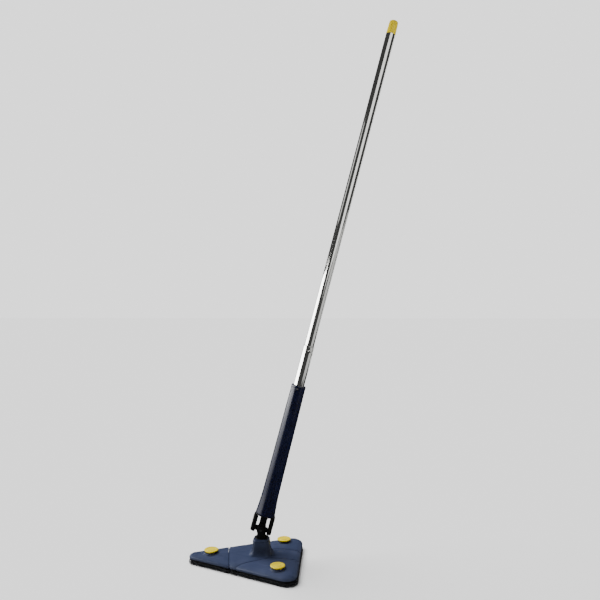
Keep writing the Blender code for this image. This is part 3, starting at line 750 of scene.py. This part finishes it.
@dataclass
class Head:
    """Cover shells, base plates, neck and buttons.

    Profiles are in millimetres: (inset from the rim, height) for a shell, (radius, height) for a round
    part, and (height, half length, half width, corner radius) for the neck.
    """

    shop: Workshop
    plan: HeadPlan = field(default_factory=HeadPlan)
    skirt: Outline = ((0.0, 14.6), (0.5, 16.6), (2.6, 19.4), (8.2, 22.6))
    crown: Outline = ((9.4, 23.0), (17.0, 24.5), (30.0, 25.6), (48.0, 26.4))
    inside: Outline = ((0.0, 12.6), (0.0, 14.2), (1.4, 16.2), (4.4, 18.6), (9.0, 20.7), (16.0, 22.2),
                       (28.0, 23.3), (46.0, 24.2))
    lip_levels: Outline = ((2.6, 12.6), (2.6, 15.0), (3.6, 17.2), (6.2, 19.2), (10.5, 21.0),
                           (18.0, 22.4), (31.0, 23.4))
    rim_bottom: float = 12.6
    wall: float = 2.2
    neck_stages: Sequence[tuple[float, float, float, float]] = (
        (25.0, 33.5, 26.5, 12.0), (26.2, 30.6, 25.2, 11.8), (28.0, 27.4, 23.4, 11.2),
        (31.0, 24.6, 21.8, 10.6), (36.0, 22.2, 20.2, 10.0), (44.0, 20.2, 18.8, 9.5),
        (56.2, 19.0, 18.0, 9.0), (56.7, 18.6, 17.6, 8.8))
    neck_bore: float = 8.0
    button_radius: float = 16.6
    button_top: float = 33.0
    button_stem: float = 12.4
    button_flange: float = 14.2
    button_hole: float = 12.9
    flange_top: float = 20.2
    boss_radius: float = 15.6
    boss_top: float = 27.6
    lip_reach: float = 3.0
    lip_clearance: float = 0.4
    lip_cutter_top: float = 60.0
    hinge_height: float = 12.3
    hinge_channel: float = 3.5
    hinge_half: float = 32.0
    cover_edge: float = 0.35 * MM
    ring_edge: float = 0.5 * MM
    base_edge: float = 0.15 * MM

    def shell(self, name: str) -> bpy.types.Object:
        """The whole domed cover, with a moulded crease near its rim."""
        outer = [(0.0, self.rim_bottom), *flowing(self.skirt, 4), *flowing(self.crown, 4)]
        rings = [self.ring(inset + self.wall, height) for inset, height in reversed(self.inside)]
        rings += [self.ring(inset, height) for inset, height in outer]
        return loft(name, rings)

    def ring(self, inset: float, height: float) -> list[tuple[float, float, float]]:
        """One level of the cover."""
        return [(point.x * MM, point.y * MM, height * MM) for point in self.plan.outline(inset)]

    def neck(self) -> bpy.types.Object:
        """The flared tower with flat faces."""
        return loft("neck", [rounded_box(x, y, radius, height)
                             for height, x, y, radius in self.neck_stages])

    def button_place(self, wing: str) -> Matrix:
        """Where a wing's button stands."""
        low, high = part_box(f"{wing}_button")
        return Matrix.Translation(((low.x + high.x) / 2, (low.y + high.y) / 2, 0.0))

    def bore(self, radius: float, place: Matrix, bottom: float, top: float) -> bpy.types.Object:
        """A round cutter."""
        return turned("bore", [(radius, bottom), (radius, top)], place, 64)

    def boss(self, place: Matrix) -> bpy.types.Object:
        """The raised round boss under a button's disc, with a small fillet at its foot."""
        wall = self.boss_radius
        foot = [(wall + 2.2, 22.9), (wall + 1.9, 24.6), (wall + 0.7, 25.6), (wall, 26.6)]
        crown = [(wall, 26.9), (wall - 0.3, 27.4), (wall - 0.9, self.boss_top)]
        return turned("boss", [*flowing(foot, 3), *crown], place, 64)

    def seam_lip(self) -> bpy.types.Object:
        """The rib that closes the tip seam below its groove."""
        lip = loft("lip", [self.ring(inset, height) for inset, height in self.lip_levels])
        near, deep = self.plan.tip_gap / 2 - self.lip_clearance, self.lip_reach
        far, skew = self.plan.far, self.plan.tip_seam_skew
        high = self.plan.tip_seam_x + skew * far
        low = self.plan.tip_seam_x - skew * far
        band = [(high - near, far), (low - near, -far), (low + deep, -far), (high + deep, far)]
        strip = self.plan.prism(band, self.plan.below, self.lip_cutter_top)
        hinge = Vector((skew, 1.0, 0.0)).normalized()
        place = Matrix.Translation(Vector((self.plan.tip_seam_x, 0.0, self.hinge_height)) * MM)
        line = [(self.hinge_channel, end) for end in (-self.hinge_half, self.hinge_half)]
        turn = hinge.to_track_quat("Z", "Y").to_matrix().to_4x4()
        channel = turned("channel", line, place @ turn, 32)
        return cut(cut(lip, [strip], "INTERSECT"), [channel])

    def build_covers(self) -> None:
        """Make the four covers."""
        for wing in PLATES:
            cover = self.shell(f"{wing}_cover_shell")
            self.plan.keep(cover, wing, self.plan.tip_gap / 2, self.plan.side_gap / 2)
            if wing == "hub":
                cut(cover, [self.neck()], "UNION")
                cut(cover, [self.seam_lip()], "UNION")
                cut(cover, [self.bore(self.neck_bore, Matrix(), 0.0, 90.0)])
            else:
                place = self.button_place(wing)
                cut(cover, [self.boss(place)], "UNION")
                cut(cover, [self.bore(self.button_hole, place, 15.0, 40.0)])
            softened(cover, self.cover_edge)
            self.shop.deliver(cover, plate_body(wing), Slot.NAVY, f"{wing}_cover")

    def build_buttons(self) -> None:
        """Make the three yellow buttons, each with a shallow ring groove."""
        top = self.button_top
        face = [(AXIS_GAP, top - 0.3), (3.0, top - 0.25), (8.4, top), (9.0, top - 0.1),
                (9.4, top - 0.6), (10.2, top - 0.6), (10.6, top - 0.1), (11.2, top)]
        disc, stem, flange = self.button_radius, self.button_stem, self.button_flange
        high, low, foot = self.flange_top, self.flange_top - 1.2, 16.0
        inner, ceiling, post = stem - self.wall, top - 2.2, 3.0
        edge = rounded([(11.2, top), (14.8, top - 0.1), (disc - 0.2, top - 0.9), (disc, top - 2.2),
                        (disc - 0.7, top - 2.6), (stem, top - 2.6), (stem, high), (flange, high),
                        (flange, low), (inner, low), (inner, ceiling), (post, ceiling), (post, foot),
                        (AXIS_GAP, foot)], 0.5)
        profile = [*flowing(face, 3), *edge[1:]]
        for wing in WINGS:
            button = turned(f"{wing}_button_disc", profile, self.button_place(wing))
            self.shop.deliver(button, f"{wing}_button_body", Slot.YELLOW, f"{wing}_button")
            self.build_spring(wing)

    def build_spring(self, wing: str) -> None:
        """Make a button's coil spring."""
        node = f"{wing}_button_spring"
        spring = self.shop.deliver(merged(node), plate_body(wing), Slot.STEEL, node)
        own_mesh(spring)

    def build_frame(self) -> None:
        """Give the neck ring and the base plates soft edges."""
        ring = refined("neck_ring", self.ring_edge)
        self.shop.deliver(ring, plate_body("hub"), Slot.NAVY, "neck_ring")
        for wing in PLATES:
            base = refined(f"{wing}_base", self.base_edge)
            self.shop.deliver(base, plate_body(wing), Slot.BLACK, f"{wing}_base")

    def build(self) -> None:
        """Make the head."""
        self.build_covers()
        self.build_buttons()
        self.build_frame()


# ---------------------------------------------------------------- sole


class TreeMaker:
    """Builds one geometry node tree with named inputs."""

    def __init__(self, name: str, inputs: dict[str, tuple[str, Any]]) -> None:
        """Start the tree.

        Args:
            name: The tree's name.
            inputs: Socket type and default of each named input.
        """
        self.tree = bpy.data.node_groups.new(name, "GeometryNodeTree")
        for side in ("INPUT", "OUTPUT"):
            self.tree.interface.new_socket("Geometry", in_out=side, socket_type="NodeSocketGeometry")
        for label, (kind, default) in inputs.items():
            made = self.tree.interface.new_socket(label, in_out="INPUT", socket_type=kind)
            if default is not None:
                made.default_value = default
        self.source = self.tree.nodes.new("NodeGroupInput").outputs

    def node(self, kind: str, settings: dict[str, Any], inputs: dict[Any, Any]) -> bpy.types.Node:
        """Add a node, set it and fill its inputs."""
        made = self.tree.nodes.new(kind)
        for key, value in settings.items():
            setattr(made, key, value)
        for key, value in inputs.items():
            if isinstance(value, bpy.types.NodeSocket):
                self.tree.links.new(value, made.inputs[key])
            else:
                made.inputs[key].default_value = value
        return made

    def finish(self, geometry: bpy.types.NodeSocket) -> bpy.types.NodeTree:
        """Realize instances, set the material and close the tree."""
        real = self.node("GeometryNodeRealizeInstances", {}, {"Geometry": geometry}).outputs[0]
        dressed = self.node("GeometryNodeSetMaterial", {}, {
            "Geometry": real, "Material": self.source["Material"]}).outputs[0]
        self.node("NodeGroupOutput", {}, {0: dressed})
        return self.tree

    @staticmethod
    def run(piece: bpy.types.Object, tree: bpy.types.NodeTree,
            values: dict[str, Any]) -> bpy.types.Object:
        """Run a tree on a piece and keep its result as a plain mesh.

        Args:
            piece: The piece that carries the source mesh.
            tree: The tree.
            values: Values of the named inputs.

        Returns:
            The same piece with its new mesh.
        """
        step = piece.modifiers.new("nodes", "NODES")
        step.node_group = tree
        for item in tree.interface.items_tree:
            if item.in_out == "INPUT" and item.name in values:
                step[item.identifier] = values[item.name]
        return applied(piece)


def pile_tree() -> bpy.types.NodeTree:
    """Short tapered tufts that stand out of a surface."""
    maker = TreeMaker("pile tufts", {
        "Material": ("NodeSocketMaterial", None), "Density": ("NodeSocketFloat", 150000.0),
        "Length": ("NodeSocketFloat", 0.003), "Thickness": ("NodeSocketFloat", 0.0006)})
    source = maker.source
    spread = maker.node("GeometryNodeDistributePointsOnFaces", {}, {
        "Mesh": source["Geometry"], "Density": source["Density"], "Seed": 7})
    tuft = maker.node("GeometryNodeMeshCone", {"fill_type": "NONE"}, {
        "Vertices": 4, "Side Segments": 2, "Radius Top": 0.0001, "Radius Bottom": source["Thickness"],
        "Depth": source["Length"]})
    swing = maker.node("FunctionNodeRandomValue", {"data_type": "FLOAT_VECTOR"}, {
        0: (-0.7, -0.7, -3.0), 1: (0.7, 0.7, 3.0), "Seed": 11})
    turn = maker.node("FunctionNodeRotateRotation", {"rotation_space": "LOCAL"}, {
        0: spread.outputs["Rotation"], 1: swing.outputs[0]})
    size = maker.node("FunctionNodeRandomValue", {"data_type": "FLOAT"}, {2: 0.6, 3: 1.1, "Seed": 13})
    placed = maker.node("GeometryNodeInstanceOnPoints", {}, {
        "Points": spread.outputs["Points"], "Instance": tuft.outputs["Mesh"], "Rotation": turn.outputs[0],
        "Scale": size.outputs[1]})
    return maker.finish(placed.outputs[0])


def stitch_tree() -> bpy.types.NodeTree:
    """A row of stitches along a wire."""
    maker = TreeMaker("binding stitches", {
        "Material": ("NodeSocketMaterial", None), "Pitch": ("NodeSocketFloat", 0.004),
        "Length": ("NodeSocketFloat", 0.0028), "Thickness": ("NodeSocketFloat", 0.00045)})
    source = maker.source
    wire = maker.node("GeometryNodeMeshToCurve", {}, {"Mesh": source["Geometry"]})
    steps = maker.node("GeometryNodeResampleCurve", {"mode": "LENGTH"}, {
        "Curve": wire.outputs[0], "Length": source["Pitch"]})
    tangent = maker.node("GeometryNodeInputTangent", {}, {})
    aim = maker.node("FunctionNodeAlignRotationToVector", {"axis": "Z"}, {"Vector": tangent.outputs[0]})
    thread = maker.node("GeometryNodeMeshCylinder", {}, {
        "Vertices": 6, "Radius": source["Thickness"], "Depth": source["Length"]})
    placed = maker.node("GeometryNodeInstanceOnPoints", {}, {
        "Points": steps.outputs[0], "Instance": thread.outputs["Mesh"], "Rotation": aim.outputs[0]})
    return maker.finish(placed.outputs[0])


@dataclass
class Sole:
    """The microfibre pad under each plate: a swollen body, rim pile and a sewn edge.

    Sizes are in millimetres. The field folded is not used.
    """

    shop: Workshop
    plan: HeadPlan = field(default_factory=HeadPlan)
    top: float = 8.6
    voxel: float = 3.0
    swell: float = 1.6
    shrink: float = 1.6
    gap: float = 0.3
    cloth_frames: int = 12
    seam_reach: float = 6.0
    pile_bottom: float = 1.4
    pile_top: float = 7.6
    pile_inset: float = 1.0
    pile_density: float = 420000.0
    pile_length: float = 2.6
    pile_thickness: float = 0.55
    stitch_bottom: float = 6.2
    stitch_top: float = 7.4
    stitch_inset: float = 0.4
    stitch_pitch: float = 4.0
    stitch_length: float = 2.8
    stitch_thickness: float = 0.45
    channel_pitch: float = 12.0
    channel_depth: float = 0.5
    folded: float = 0.3

    def blank(self, name: str, wing: str, inset: float, bottom: float, top: float) -> bpy.types.Object:
        """A flat pad shape under one plate."""
        blank = self.plan.prism(self.plan.outline(inset), bottom, top)
        blank.name = name
        return self.plan.keep(blank, wing, self.gap + inset, self.gap + inset)

    def padded_body(self, wing: str) -> bpy.types.Object:
        """Inflate the pad with a short cloth run, then press it flat where it rests."""
        margin = self.shrink * 0.5
        pad = self.blank(f"{wing}_pad_body", wing, self.shrink, margin, self.top - margin)
        remesh = pad.modifiers.new("even mesh", "REMESH")
        remesh.mode = "VOXEL"
        remesh.voxel_size = self.voxel * MM
        applied(pad)
        rest = [vertex.co.copy() for vertex in pad.data.vertices]
        self.inflate(pad)
        limit = self.swell * MM
        for vertex, start in zip(pad.data.vertices, rest):
            shift = vertex.co - start
            if shift.length > limit:
                vertex.co = start + shift.normalized() * limit
        finer = pad.modifiers.new("finer", "SUBSURF")
        finer.levels = 1
        finer.render_levels = 1
        applied(pad)
        for vertex in pad.data.vertices:
            x, y, z = vertex.co
            wave = 0.5 - 0.5 * math.cos(2 * math.pi * x / (self.channel_pitch * MM))
            floor = self.channel_depth * MM * (wave ** 6)
            vertex.co = (x, y, min(max(z, floor), self.top * MM))
        smooth_mesh(pad.data, 80.0)
        return pad

    def inflate(self, pad: bpy.types.Object) -> None:
        """Run the cloth for a few frames and keep its last shape."""
        cloth = pad.modifiers.new("swell", "CLOTH")
        cloth.settings.use_pressure = True
        cloth.settings.uniform_pressure_force = 4.0
        cloth.settings.effector_weights.gravity = 0.0
        cloth.point_cache.frame_start = 1
        cloth.point_cache.frame_end = self.cloth_frames
        scene = bpy.context.scene
        for number in range(1, self.cloth_frames + 1):
            scene.frame_set(number)
        applied(pad)
        scene.frame_set(1)

    def rim(self, wing: str, bottom: float, top: float, inset: float) -> bpy.types.Object:
        """The upright faces of a pad's edge, without its flat faces."""
        rim = self.blank(f"{wing}_pad_pile", wing, inset, bottom, top)
        bm = bmesh.new()
        bm.from_mesh(rim.data)
        flat = [face for face in bm.faces if abs(face.normal.z) > 0.5 or self.is_seam(face)]
        bmesh.ops.delete(bm, geom=flat, context="FACES")
        bm.to_mesh(rim.data)
        bm.free()
        return rim

    def is_seam(self, face: bmesh.types.BMFace) -> bool:
        """Whether an upright face lies on a seam and not on the outer rim."""
        middle = face.calc_center_median() / MM
        edge = min((Vector((middle.x, middle.y)) - point).length for point in self.dense_outline())
        return edge > self.seam_reach

    def dense_outline(self) -> list[Vector]:
        """The outer outline with points along its straight sides."""
        corners = self.plan.outline(0.0)
        points = []
        for index, point in enumerate(corners):
            after = corners[(index + 1) % len(corners)]
            count = max(1, int((after - point).length / self.seam_reach))
            points += [point.lerp(after, step / count) for step in range(count)]
        return points

    def seam_wire(self, wing: str) -> bpy.types.Object:
        """The line of the sewn binding round the pad's outer edge."""
        rim = self.rim(wing, self.stitch_bottom, self.stitch_top, self.stitch_inset)
        bm = bmesh.new()
        bm.from_mesh(rim.data)
        low = min(vertex.co.z for vertex in bm.verts)
        lower = [vertex for vertex in bm.verts if vertex.co.z < low + 0.5 * MM]
        bmesh.ops.delete(bm, geom=lower, context="VERTS")
        bm.to_mesh(rim.data)
        bm.free()
        rim.name = f"{wing}_pad_stitches"
        return rim

    def build(self) -> None:
        """Make the four pads."""
        pile = pile_tree()
        stitches = stitch_tree()
        fabric = self.shop.finishes.made[Slot.PAD]
        for wing in PLATES:
            body = plate_body(wing)
            pad = self.shop.deliver(self.padded_body(wing), body, Slot.PAD, f"{wing}_pad")
            edge = self.rim(wing, self.pile_bottom, self.pile_top, self.pile_inset)
            tufts = TreeMaker.run(edge, pile, {
                "Material": fabric, "Density": self.pile_density, "Length": self.pile_length * MM,
                "Thickness": self.pile_thickness * MM})
            self.level(tufts)
            self.shop.deliver(tufts, body, Slot.PAD)
            thread = TreeMaker.run(self.seam_wire(wing), stitches, {
                "Material": fabric, "Pitch": self.stitch_pitch * MM, "Length": self.stitch_length * MM,
                "Thickness": self.stitch_thickness * MM})
            self.shop.deliver(thread, body, Slot.PAD)
            for piece in (pad, tufts, thread):
                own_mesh(piece)

    def level(self, piece: bpy.types.Object) -> None:
        """Keep pile above the floor and below the plate."""
        for vertex in piece.data.vertices:
            vertex.co.z = min(max(vertex.co.z, 0.1 * MM), self.top * MM)


# ---------------------------------------------------------------- joint and pole


@dataclass
class Joint:
    """The black fork, the cross block and the swivel."""

    shop: Workshop
    edge: float = 0.45 * MM

    def build(self) -> None:
        """Give the joint's plastic parts soft moulded edges."""
        for node, body in (("pole_yoke", "pole"), ("cross_block", "cross"), ("swivel_clevis", "swivel")):
            self.shop.deliver(refined(node, self.edge), body, Slot.BLACK, node)


@dataclass
class Pole:
    """The sleeve, both tubes, the mouth bush, the snap button and the end cap.

    Sizes are in millimetres, and stations along the pole run from the joint. The sleeve's profiles are
    (radius, station), the snap button's is (radius, distance from the pole's middle).
    """

    shop: Workshop
    sleeve_bottom: float = 36.5
    sleeve_top: float = 347.0
    sleeve_screw: float = 340.0
    sleeve_screw_hole: float = 1.9
    sleeve_skin: Outline = ((17.4, 300.0), (18.3, 200.0), (19.3, 110.0), (19.9, 80.0), (21.0, 60.0),
                            (22.1, 46.0), (22.8, 38.2))
    sleeve_inside: Outline = ((20.1, 46.0), (19.0, 60.0), (17.9, 80.0), (17.3, 110.0), (16.3, 200.0),
                              (15.4, 300.0))
    lower_radius: float = 12.5
    upper_radius: float = 11.0
    tube_wall: float = 0.5
    lower_bottom: float = 58.3
    lower_top: float = 441.0
    upper_bottom: float = 372.0
    upper_top: float = 1192.7
    cap_top: float = 1225.5
    snap_at: float = 431.3
    snap_turn: float = math.radians(20.0)
    snap_hole: float = 4.2
    snap_foot: float = 9.6
    snap_dome: Outline = ((3.6, 13.0), (3.45, 13.6), (2.9, 14.15), (1.8, 14.5), (AXIS_GAP, 14.6))
    leaf_back: float = -9.5
    end_angle: float = 30.0

    def snap_out(self) -> Vector:
        """The way the snap button points, in the pole's frame."""
        return Vector((math.sin(self.snap_turn), -math.cos(self.snap_turn), 0.0))

    def snap_bore(self) -> bpy.types.Object:
        """The cutter of the snap button's hole."""
        return self.cross_bore(self.snap_out(), self.snap_at, self.snap_hole)

    @staticmethod
    def square_to(out: Vector, station: float) -> Matrix:
        """The place on the pole's middle line from which Z points outwards."""
        turn = out.to_track_quat("Z", "Y").to_matrix().to_4x4()
        return POLE @ Matrix.Translation((0.0, 0.0, station * MM)) @ turn

    def cross_bore(self, out: Vector, station: float, radius: float) -> bpy.types.Object:
        """A round cutter square to the pole."""
        return turned("bore", [(radius, 5.0), (radius, 30.0)], self.square_to(out, station), 32)

    def finish_round(self, piece: bpy.types.Object, body: str, slot: Slot, node: str) -> None:
        """Sharpen a round part's end edges in the shading and deliver it."""
        smooth_mesh(piece.data, self.end_angle)
        self.shop.deliver(piece, body, slot, node)

    def build_sleeve(self) -> None:
        """The long tapered sleeve with a rolled top lip and a shallow step above the fork."""
        top, bottom, skin = self.sleeve_top, self.sleeve_bottom, self.sleeve_skin
        lip = [(16.5, top), (17.1, top - 1.4), (17.1, top - 4.6), (16.8, top - 5.4), skin[0]]
        outer = [*rounded(lip, 0.7), *flowing(skin, 8), (22.6, bottom)]
        inner = [(20.8, bottom), *self.sleeve_inside, (14.7, top)]
        sleeve = turned("grip_sleeve_shell", [*outer, *inner], POLE, ROUND_STEPS, closed=True)
        front = Vector((0.0, -1.0, 0.0))
        cut(sleeve, [self.cross_bore(front, self.sleeve_screw, self.sleeve_screw_hole)])
        self.finish_round(sleeve, "sleeve", Slot.SLEEVE, "grip_sleeve")

    def tube(self, name: str, radius: float, bottom: float, top: float) -> bpy.types.Object:
        """A thin chrome tube with rolled ends."""
        inner = radius - self.tube_wall
        line = rounded([(inner, bottom + 3), (inner, bottom), (radius, bottom), (radius, top),
                        (inner, top), (inner, top - 3)], 0.2)
        return turned(name, line, POLE, ROUND_STEPS, closed=True)

    def build_tubes(self) -> None:
        """Both chrome tubes, with the snap hole through each."""
        for node, body, radius, bottom, top in (
                ("lower_tube", "pole", self.lower_radius, self.lower_bottom, self.lower_top),
                ("upper_tube", "upper_pole", self.upper_radius, self.upper_bottom, self.upper_top)):
            tube = cut(self.tube(f"{node}_chrome", radius, bottom, top), [self.snap_bore()])
            self.finish_round(tube, body, Slot.CHROME, node)

    def build_mouth(self) -> None:
        """The pressed chrome collar round the mouth of the lower tube."""
        bottom = self.lower_top + 0.3
        skirt = self.lower_radius - self.tube_wall - 0.25
        bore = self.upper_radius + 0.25
        line = rounded([(bore, bottom + 0.8), (bore, bottom + 1.6), (12.0, bottom + 1.6),
                        (12.6, bottom + 1.0), (12.6, bottom), (skirt, bottom), (skirt, bottom - 24),
                        (bore, bottom - 24), (bore, bottom - 20)], 0.3)
        bush = cut(turned("tube_mouth_collar", line, POLE, 96, closed=True), [self.snap_bore()])
        self.finish_round(bush, "pole", Slot.CHROME, "tube_mouth_bush")

    def build_snap(self) -> None:
        """The domed snap button, which sinks as the tube slides, and its leaf spring."""
        place = self.square_to(self.snap_out(), self.snap_at)
        foot = self.snap_foot
        line = [(AXIS_GAP, foot), (3.4, foot), (3.6, foot + 0.2), *flowing(self.snap_dome, 3)]
        button = turned("snap_button_dome", line, place, 48)
        self.shop.deliver(button, "snap_button_body", Slot.CHROME, "snap_button")
        tuple(place @ Vector((0.0, 0.0, 9.6 * MM)))
        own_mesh(button)
        leaf = self.shop.deliver(merged("snap_spring"), "upper_pole", Slot.STEEL, "snap_spring")
        back = place @ Vector((0.0, 0.0, self.leaf_back * MM))
        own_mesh(leaf)

    def build_cap(self) -> None:
        """The yellow end cap with a rounded top, a bead and a hollow plug."""
        bottom = self.upper_top + 0.3
        skin = [(AXIS_GAP, self.cap_top), (4.0, self.cap_top - 0.15), (7.4, self.cap_top - 0.9),
                (9.4, self.cap_top - 2.4), (10.2, self.cap_top - 4.6), (10.7, self.cap_top - 14.0),
                (11.1, bottom + 2.2)]
        rest = rounded([(11.1, bottom + 2.2), (11.2, bottom + 1.4), (11.2, bottom), (10.2, bottom),
                        (10.0, bottom - 24), (7.6, bottom - 24), (7.6, bottom + 6),
                        (AXIS_GAP, bottom + 6)], 0.5)
        cap = turned("end_cap_yellow", [*flowing(skin, 5), *rest[1:]], POLE, 96)
        self.shop.deliver(cap, "upper_pole", Slot.YELLOW, "end_cap")

    def build(self) -> None:
        """Make the pole."""
        self.build_sleeve()
        self.build_tubes()
        self.build_mouth()
        self.build_snap()
        self.build_cap()


@dataclass
class Hardware:
    """The CAD nodes that keep their shape and get a finer finish."""

    shop: Workshop

    def build(self) -> None:
        """Dress every node whose shape stays."""
        slots = {part["node"]: Slot(part["material_slot"]) for part in frame["record"]["subparts"]}
        for name, node in frame["nodes"].items():
            self.shop.finishes.dress(node, slots[name])


# ---------------------------------------------------------------- studio


@dataclass(frozen=True)
class Softbox:
    """One area light that glossy surfaces mirror; the ceiling does the rest of the lighting."""

    name: str
    place: tuple[float, float, float]
    aim: tuple[float, float, float]
    width: float
    height: float
    radiance: float

    def build(self) -> None:
        """Place the light."""
        data = bpy.data.lights.new(self.name, "AREA")
        data.shape = "RECTANGLE"
        data.size = self.width
        data.size_y = self.height
        data.energy = self.radiance * math.pi * self.width * self.height
        lamp = bpy.data.objects.new(self.name, data)
        lamp.location = self.place
        way = Vector(self.aim) - Vector(self.place)
        lamp.rotation_euler = way.to_track_quat("-Z", "Y").to_euler()
        lamp.visible_camera = False
        lamp.visible_diffuse = False
        bpy.context.scene.collection.objects.link(lamp)


@dataclass
class Studio:
    """Pale floor, soft lights and the camera."""

    eye: tuple[float, float, float] = (0.18093, -1.40860, 0.60328)
    turn: tuple[float, float, float] = (math.radians(90.63), 0.0, math.radians(3.667))
    lens: float = 36.16
    floor_half: float = 30.0
    floor_drop: float = 0.02 * MM
    ambient: float = 0.05
    backdrop: float = 2.15
    boxes: tuple[Softbox, ...] = (
        Softbox("left_wall", (-2.3, 0.0, 0.95), (0.0, 0.0, 0.95), 4.0, 0.8, 9.0),
        Softbox("left_low", (-2.3, -0.2, 0.3), (0.0, 0.0, 0.3), 3.4, 0.5, 2.4),
        Softbox("left_high", (-2.0, -0.3, 2.1), (0.3, 0.0, 0.9), 1.2, 0.8, 0.8),
        Softbox("front_right", (1.4, -2.3, 1.75), (0.3, 0.0, 0.8), 2.6, 2.3, 1.3),
        Softbox("right_low", (1.10, -0.35, 0.36), (0.25, 0.0, 0.36), 1.2, 0.7, 0.6),
        Softbox("back_right", (1.8, 1.6, 1.0), (0.3, 0.0, 0.7), 0.6, 2.4, 2.0),
    )
    ceiling_from: tuple[float, float, float] = (-0.40, 0.25, 0.88)
    ceiling_strength: float = 6.0
    ceiling_spread: float = math.radians(50.0)

    def build_lights(self) -> None:
        """Place the soft boxes and the soft light from above."""
        for box in self.boxes:
            box.build()
        data = bpy.data.lights.new("ceiling", "SUN")
        data.energy = self.ceiling_strength
        data.angle = self.ceiling_spread
        lamp = bpy.data.objects.new("ceiling", data)
        lamp.rotation_euler = Vector(self.ceiling_from).to_track_quat("Z", "Y").to_euler()
        lamp.visible_glossy = False
        bpy.context.scene.collection.objects.link(lamp)

    def build_world(self) -> None:
        """A pale backdrop that lights the scene gently."""
        world = bpy.data.worlds.new("studio")
        bpy.context.scene.world = world
        world.use_nodes = True
        tree = world.node_tree
        plain = tree.nodes["Background"]
        plain.inputs["Color"].default_value = colour(1.0, 1.0, 1.0)
        plain.inputs["Strength"].default_value = self.ambient
        pale = tree.nodes.new("ShaderNodeBackground")
        pale.inputs["Strength"].default_value = self.backdrop
        seen = tree.nodes.new("ShaderNodeLightPath")
        mix = tree.nodes.new("ShaderNodeMixShader")
        tree.links.new(seen.outputs["Is Camera Ray"], mix.inputs[0])
        tree.links.new(plain.outputs[0], mix.inputs[1])
        tree.links.new(pale.outputs[0], mix.inputs[2])
        tree.links.new(mix.outputs[0], tree.nodes["World Output"].inputs[0])

    def build_floor(self) -> None:
        """Lay the floor just under the pads, out of sight of glossy surfaces."""
        half = self.floor_half
        bm = bmesh.new()
        corners = [bm.verts.new((x * half, y * half, -self.floor_drop))
                   for x, y in ((-1, -1), (1, -1), (1, 1), (-1, 1))]
        bm.faces.new(corners)
        mesh = bpy.data.meshes.new("floor")
        bm.to_mesh(mesh)
        bm.free()
        floor = piece_from("floor", mesh)
        shader = Shader("pale floor")
        shader.surface.inputs["Base Color"].default_value = colour(0.93, 0.93, 0.93)
        shader.surface.inputs["Roughness"].default_value = 0.9
        shader.surface.inputs["Specular IOR Level"].default_value = 0.0
        mesh.materials.append(shader.material)
        floor.visible_glossy = False

    def build_camera(self) -> None:
        """Set the camera."""
        data = bpy.data.cameras.new("camera")
        data.lens = self.lens
        data.sensor_width = 36.0
        camera = bpy.data.objects.new("camera", data)
        camera.location = self.eye
        camera.rotation_euler = self.turn
        bpy.context.scene.collection.objects.link(camera)
        bpy.context.scene.camera = camera

    def build(self) -> None:
        """Make the studio."""
        self.build_camera()
        self.build_lights()
        self.build_world()
        self.build_floor()


def main() -> None:
    """Build every sub-assembly in order."""
    logging.basicConfig(level=logging.INFO, format="%(name)s: %(message)s")
    shop = Workshop(Finishes())
    makers: tuple[Callable[[Workshop], Any], ...] = (Hardware, Head, Sole, Joint, Pole)
    for maker in makers:
        LOG.info("building %s", maker.__name__)
        maker(shop).build()
    Studio().build()


if __name__ == "__main__":
    main()
